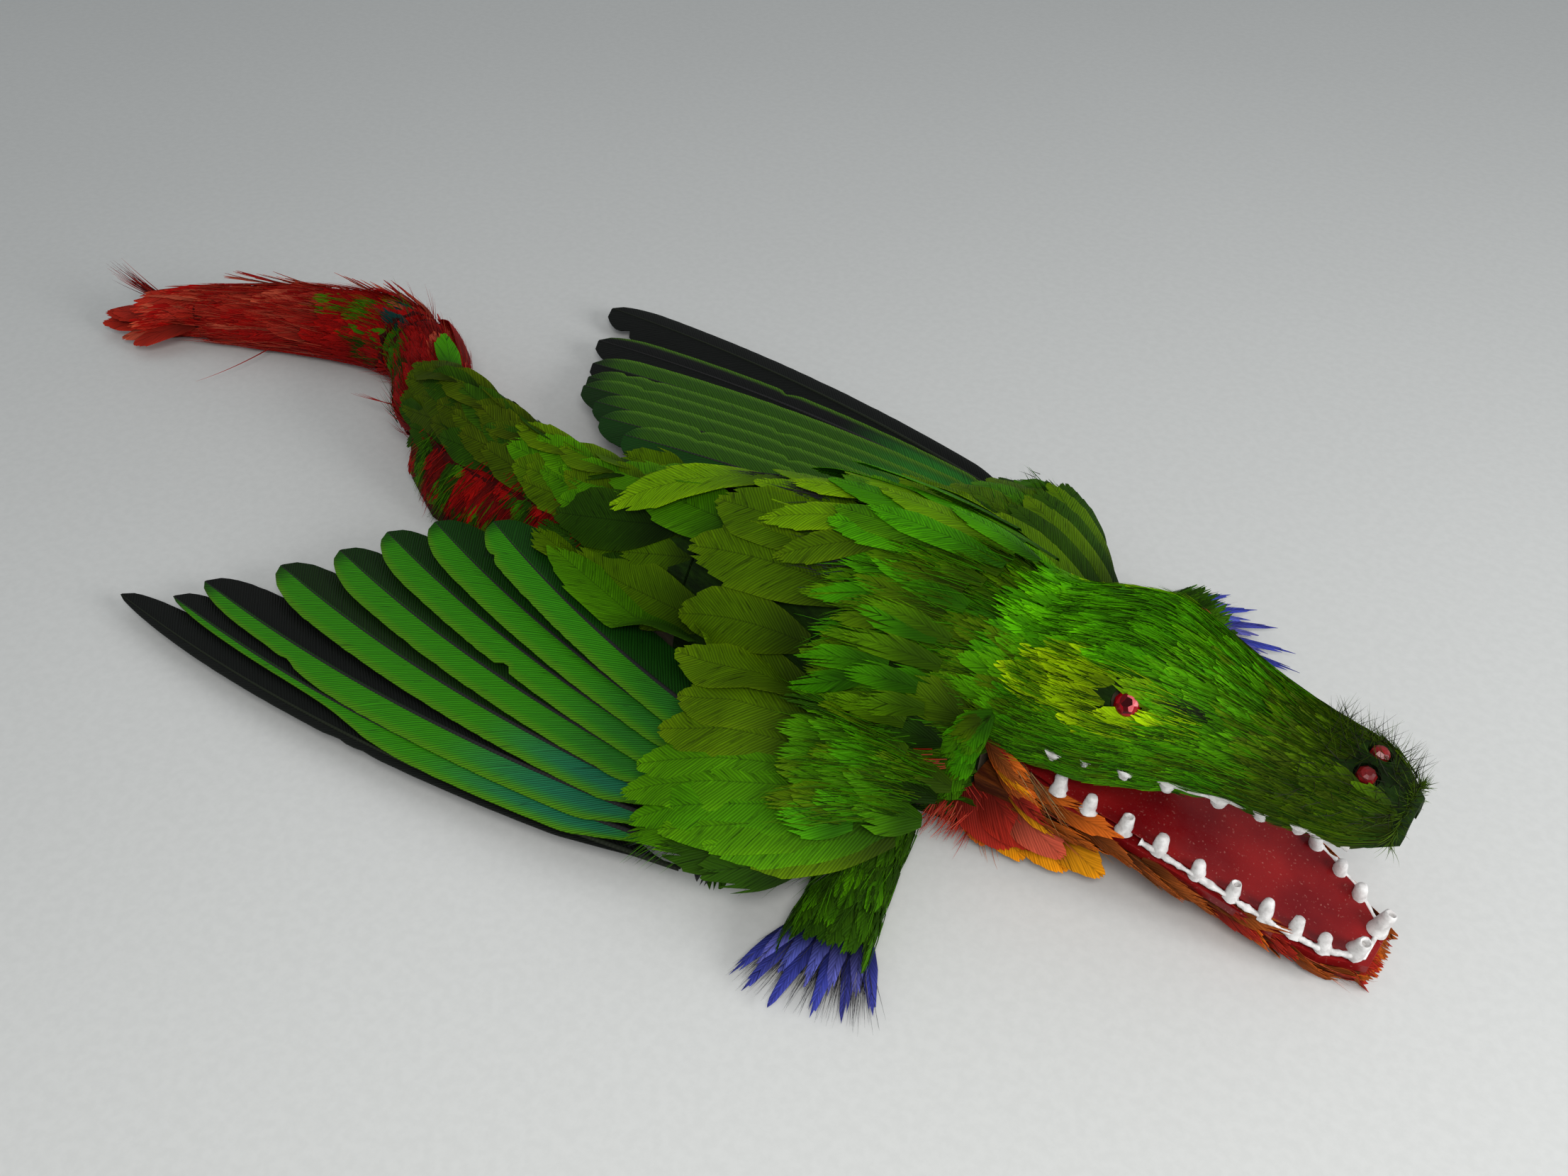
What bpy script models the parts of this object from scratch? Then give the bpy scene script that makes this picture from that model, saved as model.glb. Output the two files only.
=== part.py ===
"""A feather alebrije: a crocodile-headed dragon that lies on its belly, built as separate pieces.

A moulded core, a wire tail and two winged arms carry the plumage, which is laid on in overlapping
patches. The head has an open mouth with a painted lining, quill teeth and glass eyes.

Frame while modelling: +X runs from tail to snout, +Y to the figure's left, +Z up, and Z = 0 is the
table. The last step moves everything so that the origin is the bottom centre of the whole figure.
"""

import math

import bmesh
import bpy
from mathutils import Matrix, Vector

MM = 0.001

# Driving dimensions, in metres.
GAP = 0.4 * MM  # air between pieces that touch on the real figure
SKIN = 1.5 * MM  # thickness of one patch of body plumage
COVER = 0.8 * MM  # thickness of a laid-on sheet of wing coverts
VANE = 0.35 * MM  # thickness of one flight feather
BELLY = 1.2 * MM  # thickness of the flat belly plumage that the figure lies on

NECK_X = 24 * MM  # where the head meets the neck
BODY_END_X = -93 * MM  # where the tail leaves the hind body
SNOUT_X = 72.5 * MM
JAW_TIP_X = 74.5 * MM
JAW_ROOT_X = 25.5 * MM

WING_ROOT_Y = 17.5 * MM  # the body's side, where the wing sheets start
WRIST_Y = 45 * MM
TILT = math.radians(6)  # each flight feather's outer edge lies a little higher

EYE_RADIUS = 1.6 * MM
NOSTRIL_RADIUS = 1.15 * MM
TOOTH_RADIUS = 1.0 * MM
WIRE_RADIUS = 0.8 * MM

# Outer surface of the body plumage: x, half width, top height, roundness of the section.
BODY = [
    (24, 14.5, 31.5, 2.4),
    (12, 17.5, 32.0, 2.3),
    (0, 19.0, 31.0, 2.2),
    (-15, 18.0, 28.5, 2.0),
    (-30, 15.0, 24.5, 1.8),
    (-45, 12.0, 20.5, 1.6),
    (-58, 10.5, 18.5, 1.4),
    (-71, 11.6, 19.0, 1.3),
    (-80, 12.8, 21.5, 1.25),
    (-87, 10.0, 22.6, 1.3),
    (-93, 7.2, 20.2, 1.5),
]
BODY_FLOOR = 1.6  # underside of the body's sections, above the belly plumage

# Outer surface of the head: x, half width, top height, mouth line height, roundness.
HEAD = [
    (24.4, 13.0, 32.0, 19.0, 2.3),
    (31, 13.2, 34.5, 22.0, 2.3),
    (39, 12.2, 37.5, 23.8, 2.2),
    (46, 10.4, 36.0, 24.0, 2.1),
    (54, 9.0, 33.2, 24.6, 2.1),
    (62, 7.6, 31.6, 25.2, 2.2),
    (68, 6.6, 31.4, 24.2, 2.3),
    (72.5, 3.2, 28.6, 24.4, 2.2),
]

# Top surface of the lower jaw: x, half width, height.
JAW = [
    (25.5, 11.6, 15.1),
    (35, 11.6, 13.9),
    (45, 10.6, 12.0),
    (55, 9.4, 9.6),
    (65, 7.6, 6.4),
    (71, 5.4, 4.4),
    (74.5, 2.6, 3.4),
]

# Middle of the tail: x, y, height, radius of its plumage.
TAIL = [
    (-94.3, 3.0, 9.6, 6.8),
    (-98.6, 3.9, 9.4, 6.7),
    (-106, 10.4, 8.7, 6.6),
    (-115, 15.0, 8.0, 6.7),
    (-127, 15.8, 7.2, 6.6),
    (-141, 11.5, 6.6, 6.2),
    (-156, 4.5, 5.6, 5.2),
    (-169, -2.5, 4.8, 4.2),
]

# Flight feathers, outermost first: length, sweep away from the body in degrees, height of the tip.
RIGHT_FEATHERS = [
    (106, 6.2, 3.0),
    (98, 5.6, 3.5),
    (96, 4.4, 4.0),
    (88, 0.6, 5.0),
    (82, -2.6, 6.2),
    (78, -5.6, 7.6),
    (72, -8.0, 9.4),
    (62, -10.2, 12.0),
]
LEFT_FEATHERS = [
    (105, 5.4, 3.0),
    (97, 0.6, 3.8),
    (91, -2.4, 4.6),
    (87, -4.0, 5.6),
    (84, -5.0, 6.8),
    (77, -6.4, 8.2),
    (71, -8.4, 9.8),
    (62, -10.6, 12.0),
]

COLOURS = {
    "green_feathers": ((0.10, 0.30, 0.02), 0.55),
    "dark_feathers": ((0.02, 0.03, 0.02), 0.5),
    "scarlet_feathers": ((0.45, 0.03, 0.02), 0.6),
    "orange_feathers": ((0.70, 0.17, 0.02), 0.6),
    "yellow_green_feathers": ((0.35, 0.38, 0.02), 0.6),
    "blue_feathers": ((0.09, 0.09, 0.42), 0.6),
    "moulded_core": ((0.45, 0.34, 0.22), 0.9),
    "dried_skin": ((0.40, 0.28, 0.18), 0.8),
    "steel_wire": ((0.35, 0.35, 0.36), 0.4),
    "red_paint": ((0.38, 0.01, 0.01), 0.3),
    "white_paint": ((0.80, 0.80, 0.78), 0.5),
    "red_glass": ((0.45, 0.01, 0.03), 0.1),
}


# ---------------------------------------------------------------- helpers


def material(name):
    found = bpy.data.materials.get(name)
    if found:
        return found
    colour, roughness = COLOURS[name]
    made = bpy.data.materials.new(name)
    made.use_nodes = True
    shader = made.node_tree.nodes["Principled BSDF"]
    shader.inputs["Base Color"].default_value = (*colour, 1.0)
    shader.inputs["Roughness"].default_value = roughness
    shader.inputs["Metallic"].default_value = 1.0 if name == "steel_wire" else 0.0
    return made


def smooth_row(table, x):
    """The row of a station table at x, in metres, on a smooth curve through the stations."""
    rows = sorted(table)
    if x <= rows[0][0]:
        return [value * MM for value in rows[0][1:]]
    if x >= rows[-1][0]:
        return [value * MM for value in rows[-1][1:]]
    i = max(k for k in range(len(rows) - 1) if rows[k][0] <= x)
    before, low = rows[max(i - 1, 0)], rows[i]
    high, after = rows[i + 1], rows[min(i + 2, len(rows) - 1)]
    span = high[0] - low[0]
    t = (x - low[0]) / span
    found = []
    for k in range(1, len(low)):
        slope_low = (high[k] - before[k]) / (high[0] - before[0]) * span
        slope_high = (after[k] - low[k]) / (after[0] - low[0]) * span
        value = (
            (2 * t**3 - 3 * t**2 + 1) * low[k]
            + (t**3 - 2 * t**2 + t) * slope_low
            + (3 * t**2 - 2 * t**3) * high[k]
            + (t**3 - t**2) * slope_high
        )
        found.append(value * MM)
    return found


def spread(start, end, count):
    return [start + (end - start) * i / (count - 1) for i in range(count)]


def new_object(name, mesh, material_name):
    obj = bpy.data.objects.new(name, mesh)
    mesh.materials.append(material(material_name))
    bpy.context.scene.collection.objects.link(obj)
    return obj


def solid(name, points, faces, material_name, smooth_angle=35):
    """One closed body from points and faces, with its faces pointing out."""
    mesh = bpy.data.meshes.new(name)
    mesh.from_pydata([tuple(p) for p in points], [], faces)
    shape = bmesh.new()
    shape.from_mesh(mesh)
    bmesh.ops.recalc_face_normals(shape, faces=shape.faces)
    shape.to_mesh(mesh)
    shape.free()
    mesh.shade_smooth()
    mesh.set_sharp_from_angle(angle=math.radians(smooth_angle))
    return new_object(name, mesh, material_name)


def loft(name, rings, material_name):
    """A closed body through rings of points, capped at both ends."""
    count = len(rings[0])
    points = [p for ring in rings for p in ring]
    faces = []
    for i in range(len(rings) - 1):
        for j in range(count):
            k = (j + 1) % count
            a, b = i * count, (i + 1) * count
            faces.append((a + j, a + k, b + k, b + j))
    last = (len(rings) - 1) * count
    faces.append(tuple(range(count)))
    faces.append(tuple(last + j for j in reversed(range(count))))
    return solid(name, points, faces, material_name)


def slab(name, outer, inner, material_name, closed_across=False):
    """A closed body between two grids of points, such as the two faces of a sheet."""
    rows, columns = len(outer), len(outer[0])
    half = rows * columns
    points = [p for row in outer for p in row] + [p for row in inner for p in row]
    faces = []
    steps = columns if closed_across else columns - 1
    for i in range(rows - 1):
        for j in range(steps):
            a = i * columns + j
            b = i * columns + (j + 1) % columns
            c, d = b + columns, a + columns
            faces.append((a, b, c, d))
            faces.append((half + d, half + c, half + b, half + a))
    for j in range(steps):
        k = (j + 1) % columns
        top = (rows - 1) * columns
        faces.append((k, j, half + j, half + k))
        faces.append((top + j, top + k, half + top + k, half + top + j))
    if not closed_across:
        for i in range(rows - 1):
            a, b = i * columns, (i + 1) * columns
            faces.append((a, b, half + b, half + a))
            a, b = a + columns - 1, b + columns - 1
            faces.append((b, a, half + a, half + b))
    return solid(name, points, faces, material_name)


def cutter(name, start, end, radius):
    """A round bar from start to end that only cuts other pieces."""
    run = Vector(end) - Vector(start)
    shape = bmesh.new()
    turn = Vector((0, 0, 1)).rotation_difference(run).to_matrix().to_4x4()
    place = Matrix.Translation((Vector(start) + Vector(end)) / 2) @ turn
    bmesh.ops.create_cone(
        shape,
        cap_ends=True,
        segments=16,
        radius1=radius,
        radius2=radius,
        depth=run.length,
        matrix=place,
    )
    mesh = bpy.data.meshes.new(name)
    shape.to_mesh(mesh)
    shape.free()
    obj = bpy.data.objects.new(name, mesh)
    bpy.context.scene.collection.objects.link(obj)
    obj.hide_render = True
    obj.display_type = "WIRE"
    return obj


def cut(obj, tool, operation="DIFFERENCE"):
    modifier = obj.modifiers.new("cut_" + tool.name, "BOOLEAN")
    modifier.operation = operation
    modifier.solver = "EXACT"
    modifier.object = tool


# ---------------------------------------------------------------- surfaces


def dome_point(x, half_width, top, floor, roundness, s):
    """A point of a dome section: s runs from -1 at the right edge over the top to 1 at the left."""
    angle = (s + 1) / 2 * math.pi
    across, up = math.cos(angle), math.sin(angle)
    power = 2 / roundness
    y = -math.copysign(abs(across) ** power, across) * half_width
    z = floor + abs(up) ** power * (top - floor)
    return Vector((x, y, z))


def body_point(x, s, inset=0.0):
    half_width, top, roundness = smooth_row(BODY, x / MM)
    floor = BODY_FLOOR * MM + max(inset, 0) * 0.2
    return dome_point(x, half_width - inset, top - inset, floor, roundness / MM, s)


def head_point(x, s, inset=0.0):
    half_width, top, mouth, roundness = smooth_row(HEAD, x / MM)
    return dome_point(x, half_width - inset, top - inset, mouth, roundness / MM, s)


def jaw_row(x):
    return smooth_row(JAW, x / MM)


def shell(name, surface, x_range, s_range, counts, material_name, lift=0.0, thick=SKIN):
    """A patch of plumage on a surface, between two stations and two section positions."""
    xs = spread(*x_range, counts[0])
    ss = spread(*s_range, counts[1])
    outer = [[surface(x, s, -lift) for s in ss] for x in xs]
    inner = [[surface(x, s, thick - lift) for s in ss] for x in xs]
    return slab(name, outer, inner, material_name)


def along_stations(stations, share):
    """The row of a station list at a share of its length, in metres, on a smooth curve."""
    t = share * (len(stations) - 1)
    i = min(int(t), len(stations) - 2)
    rows = [stations[max(i - 1, 0)], stations[i], stations[i + 1]]
    rows.append(stations[min(i + 2, len(stations) - 1)])
    u = t - i
    weights = (
        (-(u**3) + 2 * u**2 - u) / 2,
        (3 * u**3 - 5 * u**2 + 2) / 2,
        (-3 * u**3 + 4 * u**2 + u) / 2,
        (u**3 - u**2) / 2,
    )
    return [sum(w * row[k] for w, row in zip(weights, rows)) * MM for k in range(len(rows[0]))]


def path_frames(stations, count):
    """Middle, sideways and upward vectors and radius at points spaced along a station list."""
    found = [along_stations(stations, share) for share in spread(0, 1, count)]
    frames = []
    for i, (x, y, z, radius) in enumerate(found):
        before, after = found[max(i - 1, 0)], found[min(i + 1, count - 1)]
        along = Vector(after[:3]) - Vector(before[:3])
        side = along.cross(Vector((0, 0, 1))).normalized()
        up = side.cross(along).normalized()
        frames.append((Vector((x, y, z)), side, up, radius))
    return frames


def ring(middle, side, up, across, height, count, phase=0.0):
    angles = [2 * math.pi * (j + phase) / count for j in range(count)]
    return [middle + side * across * math.cos(a) + up * height * math.sin(a) for a in angles]


# ---------------------------------------------------------------- core, head and mouth


def make_cores():
    inset = SKIN + GAP
    positions = spread(-1, 1, 13)
    xs = spread(BODY_END_X, NECK_X, 15)
    body = loft(
        "body_core",
        [[body_point(x, s, inset) for s in positions] for x in xs],
        "moulded_core",
    )
    xs = spread(NECK_X + GAP, SNOUT_X - inset, 12)
    head = loft(
        "head_core",
        [[head_point(x, s, inset) for s in positions] for x in xs],
        "moulded_core",
    )
    return body, head


def jaw_outline(x, margin):
    half_width, height = jaw_row(x)
    return max(half_width - margin, 0.8 * MM), height


def jaw_sheet(name, x_range, margin, drop, thick, material_name, count=10):
    """A sheet that follows the lower jaw's top surface, drop below it and margin in from its edge."""
    outer, inner = [], []
    for x in spread(*x_range, count):
        half_width, height = jaw_outline(x, margin)
        across = spread(-half_width, half_width, 5)
        outer.append([Vector((x, y, height - drop)) for y in across])
        inner.append([Vector((x, y, height - drop - thick)) for y in across])
    return slab(name, outer, inner, material_name)


def make_mouth():
    """The jaw board, the two painted linings and the two strips of teeth."""
    board = 1.2 * MM
    lining = 0.5 * MM
    rim = 2.4 * MM
    jaw_sheet("jaw_board", (JAW_ROOT_X, JAW_TIP_X), 0, lining + GAP, board, "moulded_core")
    floor_range = (JAW_ROOT_X + 1 * MM, JAW_TIP_X - 3 * MM)
    jaw_sheet("mouth_floor_lining", floor_range, rim, 0, lining, "red_paint")

    outer, inner = [], []
    for x in spread(JAW_ROOT_X + 2 * MM, SNOUT_X - 4.5 * MM, 9):
        half_width, _, mouth, _ = smooth_row(HEAD, x / MM)
        across = spread(-1, 1, 5)
        reach = half_width - rim
        outer.append([Vector((x, reach * s, mouth - GAP)) for s in across])
        inner.append([Vector((x, reach * s, mouth - GAP - lining)) for s in across])
    slab("palate_lining", outer, inner, "red_paint")

    lower_teeth = [35, 39.5, 44, 48.5, 53, 57.5, 62, 66, 69.5, 72.2]
    upper_teeth = [37, 41.5, 46.5, 51.5, 56.5, 61.5, 66]
    make_teeth("lower_teeth", lower_mouth_edge, lower_teeth, 3.4 * MM, 1)
    make_teeth("upper_teeth", upper_mouth_edge, upper_teeth, 3.0 * MM, -1)


def lower_mouth_edge(x):
    half_width, height = jaw_row(min(x, JAW_TIP_X - 1.2 * MM))
    return half_width, height


def upper_mouth_edge(x):
    half_width, _, mouth, _ = smooth_row(HEAD, x / MM)
    return half_width, mouth - GAP


def make_teeth(name, edge, places, length, upward):
    """A painted bead round the mouth's edge with cut-quill teeth standing on it."""
    front = (JAW_TIP_X if upward > 0 else SNOUT_X) - 0.9 * MM
    stations = spread(32 * MM, front, 10)
    path = [(x, -1) for x in stations] + [(x, 1) for x in reversed(stations)]
    tops, bottoms = [], []
    for x, sign in path:
        half_width, height = edge(x)
        inward = (0.25 * MM, 1.35 * MM)
        row = [Vector((x, sign * (half_width - d), height)) for d in inward]
        row[1].x = min(x, front - 1.1 * MM)
        low = 0.5 * MM if upward > 0 else 0.0
        bottoms.append([p - Vector((0, 0, upward * low)) for p in row])
        tops.append([p + Vector((0, 0, upward * 0.7 * MM)) for p in row])
    strip = slab(name, tops, bottoms, "white_paint")
    teeth = bmesh.new()
    for x in places:
        for sign in (-1, 1):
            half_width, height = edge(x * MM)
            foot = Vector((x * MM, sign * (half_width - 0.85 * MM), height))
            axis = Vector((0, -sign * 0.12, upward)).normalized()
            turn = Vector((0, 0, 1)).rotation_difference(axis).to_matrix().to_4x4()
            middle = foot + axis * (length / 2 + 0.15 * MM)
            bmesh.ops.create_cone(
                teeth,
                cap_ends=True,
                segments=8,
                radius1=TOOTH_RADIUS,
                radius2=TOOTH_RADIUS * 0.72,
                depth=length,
                matrix=Matrix.Translation(middle) @ turn,
            )
    mesh = bpy.data.meshes.new(name + "_quills")
    teeth.to_mesh(mesh)
    teeth.free()
    quills = bpy.data.objects.new(name + "_quills", mesh)
    bpy.context.scene.collection.objects.link(quills)
    quills.hide_render = True
    quills.display_type = "WIRE"
    cut(strip, quills, "UNION")


def make_jaw_plumage():
    """Orange feathers under the lower jaw, and the fuller throat behind them."""
    under = 2.1 * MM  # from the jaw's top surface down to where the feathers start
    outer, inner = [], []
    for x in spread(45.4 * MM, JAW_TIP_X - 0.6 * MM, 9):
        half_width, height = jaw_row(x)
        depth = 0.7 * MM + 2.6 * MM * (JAW_TIP_X - x) / (29 * MM)
        angles = spread(0, math.pi, 9)
        reach = half_width + 0.2 * MM
        top = height - under - GAP
        outer.append([Vector((x, -reach * math.cos(a), top - depth * math.sin(a))) for a in angles])
        inner.append([Vector((x, -reach * math.cos(a), top + 0.05 * MM)) for a in angles])
    flat = [[Vector((p.x, q.y * 0.98, p.z)) for p, q in zip(a, b)] for a, b in zip(inner, outer)]
    slab("jaw_underside_feathers", outer, flat, "orange_feathers")

    rings = []
    for x in spread(24.4 * MM, 45 * MM, 8):
        half_width, height = jaw_row(x)
        top = height - under - GAP
        share = (x - 24.4 * MM) / (20.6 * MM)
        bottom = (2.0 + 6.0 * share**2) * MM
        reach = half_width + (2.4 - 2.6 * share) * MM
        angles = spread(0, math.pi, 9)
        arc = [Vector((x, reach * math.cos(a), top - (top - bottom) * math.sin(a))) for a in angles]
        rings.append(arc + [Vector((x, 0, top))])
    loft("throat_feathers", rings, "orange_feathers")


def make_gem(name, place, facing, radius, hosts):
    """A faceted flat-backed glass stone, and the holes that let it into the plumage."""
    facing = Vector(facing).normalized()
    turn = Vector((0, 0, 1)).rotation_difference(facing)
    levels = [(0, 1.0), (0.45, 1.0), (0.85, 0.72), (1.05, 0.36)]
    rings = []
    for height, share in levels:
        angles = [2 * math.pi * (j + 0.5) / 8 for j in range(8)]
        points = [
            Vector((math.cos(a) * share, math.sin(a) * share, height)) * radius for a in angles
        ]
        rings.append([Vector(place) + turn @ p for p in points])
    gem = loft(name, rings, "red_glass")
    gem.data.shade_flat()
    start = Vector(place) - facing * 1.2 * MM
    tool = cutter(name + "_hole", start, start + facing * 6 * MM, radius + GAP)
    for host in hosts:
        cut(host, tool)


def make_head_plumage():
    """Crown, cheeks and snout, with a glass eye and a nostril stone on each side."""
    back, middle = NECK_X + GAP, 47 * MM
    tip = SNOUT_X
    shell("crown_feathers", head_point, (back, middle), (-0.40, 0.40), (9, 9), "green_feathers")
    snout = shell(
        "snout_feathers", head_point, (middle + GAP, tip), (-1, 1), (10, 17), "green_feathers"
    )
    for side, sign in (("right", -1), ("left", 1)):
        face = shell(
            f"{side}_cheek_feathers",
            head_point,
            (back, middle),
            (sign * 0.42, sign * 1.0),
            (9, 9),
            "yellow_green_feathers",
        )
        seat = head_point(40.5 * MM, sign * 0.60, SKIN * 0.5)
        make_gem(f"{side}_eye_gem", seat, (0.25, sign * 0.8, 0.62), EYE_RADIUS, [face])
        seat = head_point(66.4 * MM, sign * 0.17, SKIN * 0.5)
        make_gem(f"{side}_nostril_gem", seat, (0.2, sign * 0.25, 0.95), NOSTRIL_RADIUS, [snout])


# ---------------------------------------------------------------- body and tail plumage


def make_body_plumage():
    shell("neck_ruff_feathers", body_point, (8 * MM, NECK_X), (-0.85, 0.85), (6, 15), "green_feathers")
    shell("mantle_feathers", body_point, (-26 * MM, 7.5 * MM), (-0.97, 0.97), (8, 17), "green_feathers")
    shell("rump_feathers", body_point, (-50 * MM, -26.5 * MM), (-0.78, 0.78), (6, 13), "green_feathers")
    hind = (BODY_END_X, -50.5 * MM)
    shell("hind_back_feathers", body_point, hind, (-0.5, 0.5), (9, 9), "green_feathers")
    for side, sign in (("right", -1), ("left", 1)):
        edges = (sign * 0.53, sign * 0.98)
        shell(f"{side}_flank_feathers", body_point, hind, edges, (9, 6), "scarlet_feathers")
        over = (-44 * MM, -2 * MM)
        edges = (sign * 0.03, sign * 0.56)
        lift = COVER + GAP
        shell(
            f"{side}_scapular_feathers",
            body_point,
            over,
            edges,
            (8, 7),
            "green_feathers",
            lift,
            COVER,
        )

    outer, inner = [], []
    for x in spread(-62 * MM, 22 * MM, 9):
        half_width = smooth_row(BODY, x / MM)[0] - 2.5 * MM
        across = spread(-half_width, half_width, 5)
        outer.append([Vector((x, y, BELLY)) for y in across])
        inner.append([Vector((x, y, 0)) for y in across])
    slab("belly_feathers", outer, inner, "yellow_green_feathers")


def make_tail(body):
    """A wire from inside the hind body, a wrapped core round it, and three lengths of plumage."""
    frames = path_frames(TAIL, 25)
    sides = 10

    def sleeve(name, first, last, outer, inner, material_name):
        span = frames[first : last + 1]
        out_rings = [ring(m, s, u, outer(r), outer(r), sides) for m, s, u, r in span]
        in_rings = [ring(m, s, u, inner(r), inner(r), sides) for m, s, u, r in span]
        return slab(name, out_rings, in_rings, material_name, closed_across=True)

    def core_radius(radius):
        return max(radius - SKIN - GAP, 1.6 * MM)

    sleeve("tail_core", 0, 22, core_radius, lambda r: WIRE_RADIUS + GAP / 2, "moulded_core")

    def plume_inner(radius):
        return core_radius(radius) + GAP

    def plume_outer(radius):
        return max(radius, plume_inner(radius) + 1.0 * MM)

    sleeve("tail_barred_feathers", 0, 10, plume_outer, plume_inner, "scarlet_feathers")
    sleeve("tail_red_feathers", 11, 22, plume_outer, plume_inner, "scarlet_feathers")

    root = frames[0][0]
    inside = root + Vector((14, -2, 0.4)) * MM
    wire = [ring(inside, *frames[0][1:3], WIRE_RADIUS, WIRE_RADIUS, 8)]
    wire += [ring(m, s, u, WIRE_RADIUS, WIRE_RADIUS, 8) for m, s, u, _ in frames[:22]]
    loft("tail_wire", wire, "steel_wire")
    tool = cutter("tail_wire_socket", inside + Vector((1, 0, 0)) * MM, root, WIRE_RADIUS + GAP)
    cut(body, tool)

    end, side, up, radius = frames[-1]
    along = up.cross(side).normalized()
    tuft = []
    for share in spread(0, 1, 6):
        middle = end + along * (share * 14 + 0.5) * MM - up * share * 2.6 * MM
        across = (4.0 - 2.6 * share**1.5) * MM
        tuft.append(ring(middle, side, up, across, across * (0.8 - 0.4 * share), 10))
    loft("tail_tip_feathers", tuft, "scarlet_feathers")


# ---------------------------------------------------------------- wings


def make_blade(name, base, tip, bulge, widths, tilt, material_name, sign=-1):
    """One feather: a thin tapered vane from base to tip that bows outwards by bulge."""
    outer_width, inner_width = widths
    run = tip - base
    outward = Vector((run.y, -run.x, 0)).normalized()
    if outward.y * sign < 0:
        outward = -outward
    tops, bottoms = [], []
    for t in spread(0, 1, 11):
        middle = base + run * t + outward * (bulge * 4 * t * (1 - t))
        rise = min(1.0, 0.16 + t / 0.14)
        fall = math.sqrt(max(1 - ((t - 0.72) / 0.2815) ** 2, 0)) if t > 0.72 else 1.0
        full = max(rise * fall, 0.05)
        row = []
        for share, width in ((1, outer_width), (0, 0), (-1, inner_width)):
            reach = share * width * full
            lift = Vector((0, 0, reach * math.sin(tilt)))
            row.append(middle + outward * reach * math.cos(tilt) + lift)
        tops.append([p + Vector((0, 0, VANE / 2)) for p in row])
        bottoms.append([p - Vector((0, 0, VANE / 2)) for p in row])
    return slab(name, tops, bottoms, material_name)


def feather_base(index, sign):
    """Where a flight feather's quill is fixed along the hand, outermost first."""
    x = (1.0 - 0.4 * index) * MM
    y = sign * (WRIST_Y - 2.7 * MM * index)
    z = (6.0 + 0.45 * index) * MM
    return Vector((x, y, z))


def covert_sheet(name, front, rear, sign, scallops, material_name, camber):
    """A sheet of overlapping coverts from a front edge to a rear edge with rounded feather ends."""
    columns, rows = 4 * scallops + 1, 4
    tops, bottoms = [], []
    for i in range(columns):
        share = i / (columns - 1)
        a, b = (Vector(along_stations(edge, share)) for edge in (front, rear))
        b = b + (b - a) * 0.07 * abs(math.sin(math.pi * scallops * share))
        row = []
        for t in spread(0, 1, rows):
            p = a.lerp(b, t)
            p.z += camber * 4 * t * (1 - t)
            p.y *= sign
            row.append(p)
        tops.append(row)
        bottoms.append([p - Vector((0, 0, COVER)) for p in row])
    return slab(name, tops, bottoms, material_name)


def make_wing(side, sign, feathers, body):
    """One wing: an arm whose skin web holds the quills, flight feathers and two covert sheets."""
    arm_radius = 1.6 * MM
    root = Vector((9.5 * MM, sign * 11 * MM, 7.4 * MM))
    wrist = Vector((5.4 * MM, sign * (WRIST_Y + 1.5 * MM), 6.6 * MM))
    middle = root.lerp(wrist, 0.5) + Vector((1.6, 0, 0.3)) * MM
    stations = [(*(p / MM), 1.6) for p in (root, middle, wrist)]
    frames = path_frames(stations, 9)
    rings = [ring(m, s, u, arm_radius, arm_radius, 10) for m, s, u, _ in frames]
    arm = loft(f"{side}_wing_arm", rings, "dried_skin")
    tool = cutter(
        f"{side}_arm_socket",
        root + Vector((-0.2 * MM, -sign * 1.0 * MM, 0)),
        root + Vector((0.9 * MM, sign * 12 * MM, 0.1 * MM)),
        arm_radius + GAP,
    )
    cut(body, tool)

    web_front = [(8.6, 21, 6.4), (7.4, 33, 6.4), (5.6, 44.5, 6.2)]
    web_rear = [(-16, 21, 4.6), (-17, 33, 4.2), (-14, 46, 3.8)]
    web = covert_sheet(f"{side}_web", web_front, web_rear, sign, 1, "dried_skin", 0.0)
    web.hide_render = True
    web.display_type = "WIRE"
    cut(arm, web, "UNION")

    for index, (length, sweep, tip_height) in enumerate(feathers):
        base = feather_base(index, sign)
        angle = math.radians(sweep)
        tip = base + Vector((-math.cos(angle), sign * math.sin(angle), 0)) * length * MM
        tip.z = tip_height * MM
        bulge = (4.2 - 0.3 * index) * MM
        widths = (1.3 * MM, 6.0 * MM) if index == 0 else (3.9 * MM, 6.4 * MM)
        paint = "dark_feathers" if index < 2 else "green_feathers"
        name = f"{side}_flight_feather_{index + 1}"
        make_blade(name, base, tip, bulge, widths, TILT, paint, sign)

    front = [(-1, 18.6, 15.2), (0, 29, 13.2), (1, 38, 11.2), (2, 46.5, 9.0)]
    rear = [(-25, 17.6, 15.6), (-22, 28, 13.4), (-17, 37, 11.2), (-10, 47.5, 8.4)]
    covert_sheet(f"{side}_greater_coverts", front, rear, sign, 7, "green_feathers", 0.3 * MM)
    front = [(23, 19.4, 12), (20, 30, 11), (14.5, 39, 9.8), (6, 47.5, 8.8)]
    rear = [(-8, 19, 17.2), (-7, 29, 15.2), (-5, 38, 13.2), (-2, 48.5, 10.8)]
    covert_sheet(f"{side}_lesser_coverts", front, rear, sign, 6, "green_feathers", 1.2 * MM)


# ---------------------------------------------------------------- legs


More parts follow.
